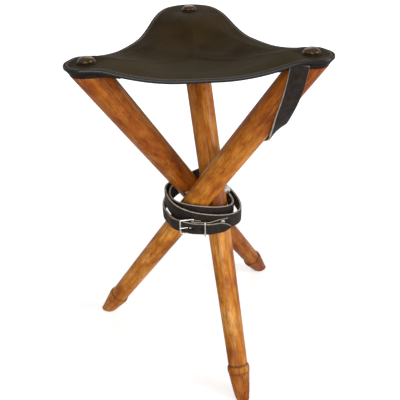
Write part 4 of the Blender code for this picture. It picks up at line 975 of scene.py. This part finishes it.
def smooth_line(knots, values, at):
    """Cubic through values at the knots, with slopes from the neighbours on both sides."""
    knots, values = np.asarray(knots, float), np.asarray(values, float)
    slopes = np.gradient(values, knots, axis=0)
    index = np.clip(np.searchsorted(knots, at, side="right") - 1, 0, len(knots) - 2)
    span = knots[index + 1] - knots[index]
    t = (at - knots[index]) / span
    if values.ndim > 1:
        span, t = span[:, None], t[:, None]
    start = (2 * t ** 3 - 3 * t ** 2 + 1) * values[index] + (t ** 3 - 2 * t ** 2 + t) * span * slopes[index]
    end = (3 * t ** 2 - 2 * t ** 3) * values[index + 1] + (t ** 3 - t ** 2) * span * slopes[index + 1]
    return start + end


def legs_reach(angles, heights):
    """Farthest reach of the legs from the hub in each direction, over the strap's width."""
    ways = plan_ways(np.radians(angles))
    best = np.full(len(angles), -1.0)
    for name in AZIMUTH:
        tilt_way = plan_ways(AZIMUTH[name])
        offset = crossing[name] - hub
        along = ways @ tilt_way
        stretch = np.hypot(along / LEAN, np.sqrt(np.clip(1 - along ** 2, 0, 1)))
        for edge in (-0.5, 0.0, 0.5):
            height = heights + edge * STRAP_WIDTH
            centre = offset[:2] + np.outer((height - offset[2]) * SHIFT, tilt_way)
            radius = np.polyval(shaft_curve, (HUB_HEIGHT + height) / LEAN)
            best = np.maximum(best, (centre * ways).sum(axis=1) + radius * stretch)
    return best


reach_right, reach_back = legs_reach(np.array((0.0, 90.0)), np.zeros(2)).round(4)
print("legs at the hub: reach", reach_right, "m to the right and", reach_back, "m to the back")

# %% [markdown]
# A belt that lies on a bundle follows the bundle's support function: in each direction it stands as far out
# as the farthest leg reaches, plus a little slack, and the point of contact follows from how that reach
# changes with the angle. A curve drawn by hand can look right from one side and cut into a leg on another.

# %% Straps: a belt round the legs
END_WIDTH = 0.016
STRAP_THICKNESS = 0.0026
FOLD_THICKNESS = 0.0018
STRAP_GAP = 0.0005
EASE = 16.0
STEP = 0.5
MARGIN = 40.0
BELT_ROUNDS = 4
TURNS = np.array((
    (0, 0.0070, 0.0280), (90, 0.0036, -0.0035), (180, 0.0030, -0.0040), (270, 0.0035, -0.0020),
    (360, 0.0055, -0.0190), (450, 0.0060, -0.0080), (540, 0.0085, 0.0010), (630, 0.0100, -0.0095),
    (720, 0.0155, -0.0245), (810, 0.0130, -0.0160), (855, 0.0105, -0.0200), (880, 0.0062, -0.0206),
    (905, 0.0034, -0.0206), (925, 0.0042, -0.0198), (945, 0.0048, -0.0180), (965, 0.0128, -0.0168),
    (990, 0.0118, -0.0176), (1080, 0.0160, -0.0310)))
START_ANGLE, END_ANGLE = 60.0, 1030.0


def belt(rows):
    """Angles round the hub, centre line and outward normals of a strap that follows rows of (angle, slack,
    height): the eased reach times the outward way, plus its rate of change times the onward way."""
    facing = np.arange(rows[0, 0] - MARGIN, rows[-1, 0] + MARGIN, STEP)
    turn = np.radians(facing)
    outward = raised(plan_ways(turn), 0 * turn)
    onward = np.cross(UP, outward)
    spread = np.arange(-3 * EASE, 3 * EASE + STEP / 2, STEP)
    bell = np.exp(-0.5 * (spread / EASE) ** 2)
    angles = facing
    for _ in range(BELT_ROUNDS):
        inside = np.clip(angles, rows[0, 0], rows[-1, 0])
        heights = smooth_line(rows[:, 0], rows[:, 2], inside)
        slack = smooth_line(rows[:, 0], rows[:, 1], inside)
        reach = legs_reach(facing, heights) + slack + STRAP_THICKNESS / 2
        reach = np.convolve(np.pad(reach, len(spread) // 2, mode="edge"), bell / bell.sum(), mode="valid")
        offset = outward * reach[:, None] + onward * np.gradient(reach, turn)[:, None]
        angles = np.degrees(np.unwrap(np.arctan2(offset[:, 1], offset[:, 0])))
        angles += 360 * np.round((facing[0] - angles[0]) / 360)
    offset[:, 2] = heights
    kept = (angles >= rows[0, 0]) & (angles <= rows[-1, 0])
    return angles[kept], hub + offset[kept], outward[kept]


def between(angles, values, at):
    """Rows of values read off at other angles."""
    return np.stack([np.interp(at, angles, values[:, axis]) for axis in range(3)], axis=-1)


belt_angles, belt_line, belt_out = belt(TURNS)
print("strap: belt of", len(belt_line), "points round the crossing")

# %% [markdown]
# Near its end the strap no longer lies on the legs. It lies on the buckle strap, which itself lies on the
# second turn, so there the line is laid off from the second turn by the thickness of what is between.

# %% Straps: the lap over the buckle
BUCKLE_WIRE = 0.0022
PRONG_WIRE = 0.0018
KEEPER_WIRE = 0.0017
RIVET_HEAD = 0.001
HINGE, TAB, LAND, LAND_END, FOLD_END = 624.0, 10.0, 646.0, 657.0, 668.0
LAP_START, LAP_END = 921.0, 956.0
fold_radius = BUCKLE_WIRE / 2 + CLEARANCE + FOLD_THICKNESS / 2
tab_off = STRAP_THICKNESS / 2 + STRAP_GAP + FOLD_THICKNESS / 2
fold_off = tab_off + 2 * fold_radius
double_off = tab_off + FOLD_THICKNESS + KEEPER_WIRE + CLEARANCE
lap_extra = FOLD_THICKNESS / 2 + 2 * STRAP_GAP + STRAP_THICKNESS / 2
head_extra = FOLD_THICKNESS / 2 + RIVET_HEAD + STRAP_GAP + CLEARANCE + STRAP_THICKNESS / 2
run_knots = np.array((HINGE, HINGE + TAB, LAND, LAND_END, FOLD_END))
run_off = np.array((fold_off, double_off, double_off, tab_off, tab_off))
lap_knots = np.append(LAP_START - 360, run_knots)
lap_off = np.append(
    STRAP_THICKNESS + lap_extra, run_off + np.where(run_off > tab_off, lap_extra, head_extra))


def lay_over(angles, offsets):
    """Points and normals at a distance outside the second turn."""
    out = between(belt_angles, belt_out, angles)
    return between(belt_angles, belt_line, angles) + out * offsets[:, None], out


late = belt_angles > LAP_START
lap_angles = belt_angles[late] - 360
lap_line, lap_out = lay_over(lap_angles, np.interp(lap_angles, lap_knots, lap_off))
share = smoothstep((belt_angles[late] - LAP_START) / (LAP_END - LAP_START))[:, None]
belt_line[late, :2] = (1 - share) * belt_line[late, :2] + share * lap_line[:, :2]
belt_out[late] = (1 - share) * belt_out[late] + share * lap_out
belt_out = unit(belt_out)
print("strap: lap of", int(late.sum()), "points over the buckle strap")

# %% [markdown]
# The drop is given on the right leg itself: how far below the leg end, at which angle round the leg, how
# far off the wood, and which way the grain side looks. A smooth line through those points joins the belt.

# %% Straps: the drop and the whole centre line
DROP = (
    (0.0064, -51.6, 0.0094, -14.6), (0.0260, -32, 0.0070, -12), (0.0450, -14, 0.0050, -3),
    (0.0650, 5, 0.0036, 7), (0.0880, 36, 0.0029, 30), (0.1050, 82, 0.0034, 74), (0.1260, 128, 0.0040, 120))
DROP_BULGE, DROP_LIFT = 0.030, 0.010
AFTER_JOIN = 20.0
RIBBON_STEP = 0.002


def lengths_along(points):
    """Distance of each point of a line from its start, along the line."""
    return np.concatenate(([0], np.cumsum(np.linalg.norm(np.diff(points, axis=0), axis=1))))


def evenly(points, facing, step):
    """A line and its normals again, at even steps along it."""
    length = lengths_along(points)
    at = np.linspace(0, length[-1], int(round(length[-1] / step)) + 1)
    return at, between(length, points, at), between(length, facing, at)


right_axis = leg_ways("right")[0]
leg_right_way = -np.cross(right_axis, bolt_axis)
below, around, off, facing = np.array(DROP, float).T
around, facing = np.radians(around)[:, None], np.radians(facing)[:, None]
reach = np.polyval(shaft_curve, LEG_LENGTH - below) + off
drop_line = axis_at("right", TOP) - np.outer(below, right_axis) \
    + (leg_right_way * np.sin(around) - bolt_axis * np.cos(around)) * reach[:, None]
drop_facing = leg_right_way * np.sin(facing) - bolt_axis * np.cos(facing)
wound = (belt_angles >= START_ANGLE) & (belt_angles <= END_ANGLE)
join, join_facing = belt_line[wound][0], belt_out[wound][0]
halfway = (drop_line[-1] + join) / 2 + eye_axis * DROP_BULGE + UP * DROP_LIFT
after = between(belt_angles, belt_line, START_ANGLE + AFTER_JOIN)
drop_line = np.vstack((drop_line, halfway, join, after))
drop_facing = np.vstack((drop_facing, (drop_facing[-1] + join_facing) / 2, join_facing, join_facing))
knots = lengths_along(drop_line)
fine = np.arange(0, knots[-2], RIBBON_STEP)
carry_at, carry_line, carry_facing = evenly(
    np.vstack((smooth_line(knots, drop_line, fine), belt_line[wound])),
    np.vstack((smooth_line(knots, drop_facing, fine), belt_out[wound])), RIBBON_STEP)
print("carry strap:", round(carry_at[-1] * 1000), "mm long")

# %% [markdown]
# A strap's section is flat on both faces with rounded cut edges, and a ribbon is that section carried along
# a line. A curve with a bevel object could carry it too, but it would turn the section by a rule of its own.
# The strip coordinates say where a point is: the first is the distance along, and the second counts from the
# middle of the grain side, past 1 at the cut edge and past 2 on the flesh side.

# %% Straps: section and ribbon
CUT_ROUND = 0.0006
GRAIN_CROWN = 0.12


def strap_section():
    """Columns of flat share, cut-edge share, height share and strip place, once round from the flesh side."""
    side = np.linspace(-np.pi / 2, np.pi / 2, 11)[1:-1]
    flat = np.linspace(-1, 1, 15)
    inner = np.linspace(0, 1, 6)
    back_left = np.column_stack((-inner, 0 * inner, -1 + 0 * inner, -3 + inner))
    left = np.column_stack((-1 + 0 * side, -np.cos(side), np.sin(side), -1.5 + side / np.pi))
    grain = np.column_stack((flat, 0 * flat, 1 + GRAIN_CROWN * (1 - flat ** 2), flat))
    right = np.column_stack((1 + 0 * side, np.cos(side), -np.sin(side), 1.5 + side / np.pi))
    back_right = np.column_stack((1 - inner, 0 * inner, -1 + 0 * inner, 2 + inner))
    return np.vstack((back_left, left, grain, right, back_right)).T


def ribbon(name, at, line, facing, widths, thickness):
    """The section carried along a centre line, closed to a point at both ends."""
    along = unit(np.gradient(line, axis=0))
    normal = unit(facing - along * (facing * along).sum(axis=1)[:, None])
    across = np.cross(normal, along)
    flat, cut, rise, place = strap_section()
    sideways = flat * (widths[:, None] / 2 - CUT_ROUND) + cut * CUT_ROUND
    upwards = (rise * thickness / 2)[:, None]
    grid = line[:, None] + across[:, None] * sideways[..., None] + normal[:, None] * upwards
    grid = capped(grid, line[0], line[-1])
    at = np.concatenate((at[:1], at, at[-1:]))
    strip = np.stack(np.broadcast_arrays(at[:, None], place[None]), axis=-1)
    return close_up(grid_mesh(name, grid, strip), crisp=50.0), normal


print("section:", strap_section().shape[1], "points")

# %% [markdown]
# The straps are near black, and their cut edges show the pale fibre inside the hide. The finish reads the
# strip coordinates to find those edges. Towards its end the carry strap tapers, so that it fits the buckle,
# and closes in a rounded point.

# %% Straps: finish and carry strap
STRAP_GRAIN = 1100.0
TAPER_LENGTH = 0.26
POINT_LENGTH = 0.017
POINT_LEAST = 0.12
POINT_POWER = 0.8


def make_strap_hide():
    """Near-black grain side, paler cut edges with fibre in them, and a greyer flesh side."""
    material, tree, shader, grain = start_hide("strap_hide", STRAP_GRAIN)
    strip = put(tree, "ShaderNodeUVMap", {"uv_map": "strip"}).outputs["UV"]
    place = sums(tree, "ABSOLUTE", put(tree, "ShaderNodeSeparateXYZ", Vector=strip).outputs["Y"])
    tone = blend_colours(tree, grain["Mottle"], (0.018, 0.0145, 0.0125), (0.030, 0.0235, 0.0200))
    flesh = blend_colours(tree, rescale(tree, place, 1.9, 2.05, 0.0, 1.0), tone, (0.045, 0.038, 0.034))
    fibre = blend_colours(tree, grain["Mottle"], (0.56, 0.50, 0.42), (0.34, 0.29, 0.23))
    cut = sums(tree, "MULTIPLY", rescale(tree, place, 1.06, 1.22, 0.0, 1.0),
               rescale(tree, place, 1.80, 1.95, 1.0, 0.0))
    feed(tree, shader, Base_Color=blend_colours(tree, cut, flesh, fibre),
         Roughness=rescale(tree, place, 0.95, 1.2, 0.48, 0.75), Specular_IOR_Level=0.05)
    bump(tree, shader, grain["Height"], 0.22, 0.0005)
    return material


strap_hide = make_strap_hide()


def strap_widths(at):
    """Full width, a taper over the last stretch, and a rounded point at the very end."""
    left = at[-1] - at
    width = np.interp(left, (POINT_LENGTH, TAPER_LENGTH), (END_WIDTH, STRAP_WIDTH))
    point = np.sin(np.clip(left / POINT_LENGTH, 0, 1) * np.pi / 2) ** POINT_POWER
    return width * (POINT_LEAST + (1 - POINT_LEAST) * point)


carry_mesh, carry_normal = ribbon(
    "carry_strap_hide", carry_at, carry_line, carry_facing, strap_widths(carry_at), STRAP_THICKNESS)
print("finish:", strap_hide.name, "| strap:", len(carry_mesh.polygons), "faces")

# %% [markdown]
# A short strap holds the buckle: it is folded round the buckle's hinge bar, and both ends lie on the second
# turn of the carry strap. A rivet holds the longer end; the stitches that hold the shorter one aren't shown.
# The same section goes along the fold.

# %% Buckle strap: tab, fold and run
RUN_HEIGHTS = np.array(((258, -0.0163), (283, -0.0177), (317, -0.0180)))
run_angles = np.arange(HINGE, FOLD_END + STEP / 2, STEP)
tab_angles = np.arange(HINGE + TAB, HINGE - STEP / 2, -STEP)
run_line, run_out = lay_over(run_angles, np.interp(run_angles, run_knots, run_off))
tab_line, tab_out = lay_over(tab_angles, np.full(len(tab_angles), tab_off))
run_line[:, 2] = hub[2] + smooth_line(*RUN_HEIGHTS.T, run_angles - 360)
tab_line[:, 2] = hub[2] + smooth_line(*RUN_HEIGHTS.T, tab_angles - 360)
bar_out = run_out[0]
bar_on = np.cross(UP, bar_out)
hinge_bar = run_line[0] - bar_out * fold_radius
fold_turn = np.linspace(np.pi, 0, 33)[1:-1, None]
fold_facing = np.cos(fold_turn) * bar_out - np.sin(fold_turn) * bar_on
fold_at, fold_line, fold_out = evenly(
    np.vstack((tab_line, hinge_bar + fold_radius * fold_facing, run_line)),
    np.vstack((-tab_out, fold_facing, run_out)), RIBBON_STEP / 3)
fold_mesh, _ = ribbon(
    "buckle_strap_hide", fold_at, fold_line, fold_out, np.full(len(fold_at), END_WIDTH), FOLD_THICKNESS)
print("buckle strap:", round(fold_at[-1] * 1000), "mm long, hinge bar at", hinge_bar.round(4).tolist())

# %% [markdown]
# Buckle, prong and keeper are bent wire. A wire is a circle carried along a path that lies in a plane, so
# the plane's normal and the path's own side way span the circle. A curve with a round bevel would do as
# well, but a grid goes through the same helpers as every other piece.

# %% Makers of wire
WIRE_SIDES = 20


def wire(name, path, plane, radius, closed):
    """A round wire: side way and plane normal span the circle at each point of a flat path."""
    if closed:
        path = np.vstack((path, path[:1]))
        onward = np.gradient(np.vstack((path[-2], path, path[1])), axis=0)[1:-1]
    else:
        onward = np.gradient(path, axis=0)
    side = unit(np.cross(plane, onward))
    turn = np.linspace(0, 2 * np.pi, WIRE_SIDES + 1)[:, None]
    radius = np.broadcast_to(radius, len(path))
    circle = np.cos(turn)[None] * side[:, None] + np.sin(turn)[None] * plane
    grid = path[:, None] + circle * radius[:, None, None]
    if not closed:
        grid = capped(grid, path[0], path[-1])
    return close_up(grid_mesh(name, grid), crisp=60.0)


def round_box(centre, first, second, half_first, half_second, radius):
    """A rectangle with round corners, in the plane of two unit ways."""
    turn = np.linspace(0, np.pi / 2, 13)
    place = np.concatenate([turn + quarter * np.pi / 2 for quarter in range(4)])
    signs = np.repeat(((1, 1), (-1, 1), (-1, -1), (1, -1)), len(turn), axis=0)
    one = signs[:, 0] * (half_first - radius) + radius * np.cos(place)
    two = signs[:, 1] * (half_second - radius) + radius * np.sin(place)
    return centre + np.outer(one, first) + np.outer(two, second)


print("helpers: wire and round_box")

# %% [markdown]
# The buckle frame is a rectangle of wire with round corners. One bar is the hinge and lies in the fold of the
# buckle strap; the end of the carry strap passes under the other one. The prong curls round the hinge bar
# and lies across the frame, with a slimmer tip.

# %% Buckle frame and prong
BUCKLE_PLAY = 0.0015
END_BAR = 967.0
CURL_ANGLES = (-200, 90)
CURL_POINTS, SHANK_POINTS, SLIM_POINTS = 40, 19, 6
TIP_SHARE = 0.55
end_out = between(belt_angles, belt_out, END_BAR)
end_off = STRAP_THICKNESS / 2 + 2 * CLEARANCE + BUCKLE_WIRE / 2
end_bar = between(belt_angles, belt_line, END_BAR) + end_out * end_off
end_bar[2] = hinge_bar[2]
buckle_way = unit(end_bar - hinge_bar)
buckle_out = np.cross(UP, buckle_way) * np.sign(np.cross(UP, buckle_way) @ end_out)
buckle_long = np.linalg.norm(end_bar - hinge_bar)
buckle = wire("buckle_wire", round_box(
    (end_bar + hinge_bar) / 2, buckle_way, UP, buckle_long / 2, END_WIDTH / 2 + BUCKLE_PLAY + BUCKLE_WIRE / 2,
    BUCKLE_WIRE), buckle_out, BUCKLE_WIRE / 2, True)

loop = BUCKLE_WIRE / 2 + CLEARANCE + PRONG_WIRE / 2
turn = np.radians(np.linspace(*CURL_ANGLES, CURL_POINTS))[:, None]
curl = hinge_bar + loop * (np.cos(turn) * buckle_way + np.sin(turn) * buckle_out)
tip = end_bar + buckle_out * loop + buckle_way * BUCKLE_WIRE / 2
shank = curl[-1] + (tip - curl[-1]) * np.linspace(0, 1, SHANK_POINTS + 1)[1:, None]
full = np.ones(CURL_POINTS + SHANK_POINTS - SLIM_POINTS)
slim = np.concatenate((full, np.linspace(1, TIP_SHARE, SLIM_POINTS)))
prong = wire("prong_wire", np.vstack((curl, shank)), UP, PRONG_WIRE / 2 * slim, False)
print("buckle:", round(buckle_long * 1000, 1), "mm long")

# %% [markdown]
# The keeper is a loop of thinner wire that holds the strap's end on the buckle strap. Its size is measured
# from the two lines that it goes round, so it fits whatever route they take.

# %% Keeper, and the metal in its place
KEEPER = 640.0
keeper_outer = between(belt_angles, belt_line, KEEPER + 360)
keeper_out = between(belt_angles, belt_out, KEEPER + 360)
keeper_inner = between(run_angles, run_line, KEEPER)
depth = (keeper_outer - keeper_inner) @ keeper_out
centre = keeper_outer - keeper_out * depth / 2
centre[2] = (keeper_outer[2] + keeper_inner[2]) / 2
keeper = wire("keeper_wire", round_box(
    centre, keeper_out, UP, depth / 2 + STRAP_THICKNESS / 2 + 2 * CLEARANCE + KEEPER_WIRE / 2,
    END_WIDTH / 2 + abs(keeper_outer[2] - keeper_inner[2]) / 2 + BUCKLE_PLAY + KEEPER_WIRE / 2, KEEPER_WIRE),
    np.cross(keeper_out, UP), KEEPER_WIRE / 2, True)
for mesh, node, body in (
        (buckle, "buckle_frame", "hub"), (prong, "buckle_prong", "prong"), (keeper, "strap_keeper", "hub")):
    piece = add_piece(mesh, nickel)
    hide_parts(node)
    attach(piece, body)
print("keeper:", round(depth * 1000, 1), "mm between the two straps")

# %% [markdown]
# Now the straps can be punched: a slot that the prong goes through and can swing out of, a row of round
# holes on both sides of it, and a slit in the fold round the hinge bar. The buckle strap then rides on the
# hub.

# %% Straps: punch and ride
HOLE_RADIUS = 0.0013
HOLE_STEP = 0.022
HOLE_PLACES = (-4, -3, -2, -1, 1)
HOLE_REACH = 0.0017
HOLE_SIDES = 24
SLOT_PLAY = 0.0018
SWING_RISE = 0.0055
SWING_SPAN = (-0.0015, 0.006)
slot_radius = PRONG_WIRE / 2 + SLOT_PLAY / 2
prong_at = carry_at[np.argmin(np.linalg.norm(carry_line - (hinge_bar + end_bar) / 2, axis=1))]
slot_span = (BUCKLE_WIRE, buckle_long + 2 * BUCKLE_WIRE)
tools = [rod(hinge_bar + buckle_out * rise, buckle_way, slot_radius, *span)
         for rise, span in ((loop, slot_span), (SWING_RISE, SWING_SPAN))]
for place in HOLE_PLACES:
    row = np.argmin(np.abs(carry_at - prong_at - place * HOLE_STEP))
    tools.append(rod(carry_line[row], carry_normal[row], HOLE_RADIUS, -HOLE_REACH, HOLE_REACH, HOLE_SIDES))
carry_mesh = bored(carry_mesh, tools, crisp=50.0)
slit = rod(hinge_bar, UP, fold_radius + FOLD_THICKNESS, -PRONG_WIRE, PRONG_WIRE)
fold_mesh = bored(fold_mesh, [slit], crisp=50.0)
carry = add_piece(carry_mesh, strap_hide)
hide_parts("carry_strap")
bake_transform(carry)
fold = add_piece(fold_mesh, strap_hide)
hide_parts("buckle_strap")
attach(fold, "hub")
print("straps:", len(carry_mesh.polygons) + len(fold_mesh.polygons), "faces,", len(HOLE_PLACES), "holes")

# %% [markdown]
# The bolt, its nuts and washers, and the two rivets are small and right as they are: those solids stay and
# only get their finish.

# %% Bolt and rivets: finish on the solids
BOLT_SET = ("hub_bolt", "hub_nut", "hub_washer_front", "hub_washer_back", "eye_bolt", "eye_nut", "eye_washer")
kept = {**dict.fromkeys(BOLT_SET, steel), "end_rivet": nickel, "strap_rivet": blackened}
for node, finish in kept.items():
    frame["nodes"][node].material_slots[0].material = finish
print("solids kept: bolt set and rivets")

# %% [markdown]
# The stool stands on a plain pale floor under soft studio light. The floor is a little brighter to the
# camera than to the stool, which makes the background white and leaves the shadow; the lamps stay at a
# level where a colour looks as it was mixed.

# %% Floor, world and lamps
FLOOR_HALF = 6.0
FLOOR_POINTS = 9
FLOOR_DROP = 0.0002
FLOOR_GLOW = (0.4, 1.6, 0.50, 1.0)
WORLD_FILL = 0.30
WHITE = (1.0, 1.0, 1.0, 1.0)


def make_floor():
    """A pale floor that glows to the camera, more so farther from the stool."""
    material, tree, shader = start_material("pale_floor")
    seen = put(tree, "ShaderNodeLightPath").outputs["Is Camera Ray"]
    place = put(tree, "ShaderNodeTexCoord").outputs["Object"]
    away = put(tree, "ShaderNodeVectorMath", {"operation": "LENGTH"}, at0=place).outputs["Value"]
    glow = sums(tree, "MULTIPLY", seen, rescale(tree, away, *FLOOR_GLOW))
    feed(tree, shader, Base_Color=(0.82, 0.82, 0.82, 1.0), Roughness=0.7, Emission_Color=WHITE,
         Emission_Strength=glow)
    return material


line = np.linspace(-FLOOR_HALF, FLOOR_HALF, FLOOR_POINTS)
flat_grid = np.stack((*np.meshgrid(line, line), np.full((FLOOR_POINTS, FLOOR_POINTS), -FLOOR_DROP)), axis=-1)
floor_mesh = grid_mesh("floor", flat_grid)
floor_mesh.materials.append(make_floor())
floor = add_object("floor", floor_mesh)

world = bpy.data.worlds.new("studio")
bpy.context.scene.world = world
world.use_nodes = True
sky = world.node_tree
path = put(sky, "ShaderNodeLightPath").outputs
mirrored = sums(sky, "MAXIMUM", path["Is Glossy Ray"], path["Is Transmission Ray"])
direct = sums(sky, "MAXIMUM", path["Is Camera Ray"], mirrored)
feed(sky, sky.nodes["Background"], Color=WHITE, Strength=rescale(sky, direct, 0.0, 1.0, WORLD_FILL, 1.0))


def add_lamp(name, place, aim, size, power):
    """A square soft lamp at a place, turned to look at a point."""
    data = bpy.data.lights.new(name, "AREA")
    data.size = size
    data.energy = power
    look = (Vector(aim) - Vector(place)).to_track_quat("-Z", "Y")
    add_object(name, data).matrix_world = Matrix.Translation(place) @ look.to_matrix().to_4x4()


add_lamp("key", (1.6, -0.8, 0.8), (0.0, 0.0, 0.25), 0.9, 21.0)
add_lamp("front", (-0.6, -1.9, 0.8), (0.0, 0.0, 0.25), 1.2, 27.0)
add_lamp("back", (0.3, 1.5, 1.4), (0.0, 0.0, 0.3), 1.0, 6.0)
bpy.context.scene.view_settings.view_transform = "Standard"
print("light: three soft lamps and a pale world")

# %% [markdown]
# The camera stands a little to the left of the front and looks down on the seat. Its place and angle make
# the seat corners, the crossing and the three feet fall where the photograph has them.

# %% Camera
CAMERA_AZIMUTH, CAMERA_ELEVATION, CAMERA_ROLL = np.radians((-11.52, 32.88, -1.56))
CAMERA_PLACE = hub + np.array((-0.1124, -0.6167, 0.3959))
LENS, SENSOR = 48.5, 36.0
back_way = np.array((np.sin(CAMERA_AZIMUTH) * np.cos(CAMERA_ELEVATION),
                     -np.cos(CAMERA_AZIMUTH) * np.cos(CAMERA_ELEVATION), np.sin(CAMERA_ELEVATION)))
right_way = np.array((np.cos(CAMERA_AZIMUTH), np.sin(CAMERA_AZIMUTH), 0.0))
up_way = np.cross(back_way, right_way)
rolled = np.cos(CAMERA_ROLL) * right_way + np.sin(CAMERA_ROLL) * up_way
camera_data = bpy.data.cameras.new("camera")
camera_data.lens = LENS
camera_data.sensor_width = SENSOR
camera = add_object("camera", camera_data)
matrix = np.eye(4)
matrix[:3] = np.column_stack((rolled, np.cross(back_way, rolled), back_way, CAMERA_PLACE))
camera.matrix_world = Matrix(matrix.tolist())
bpy.context.scene.camera = camera
print("camera:", LENS, "mm at", CAMERA_PLACE.round(4).tolist())
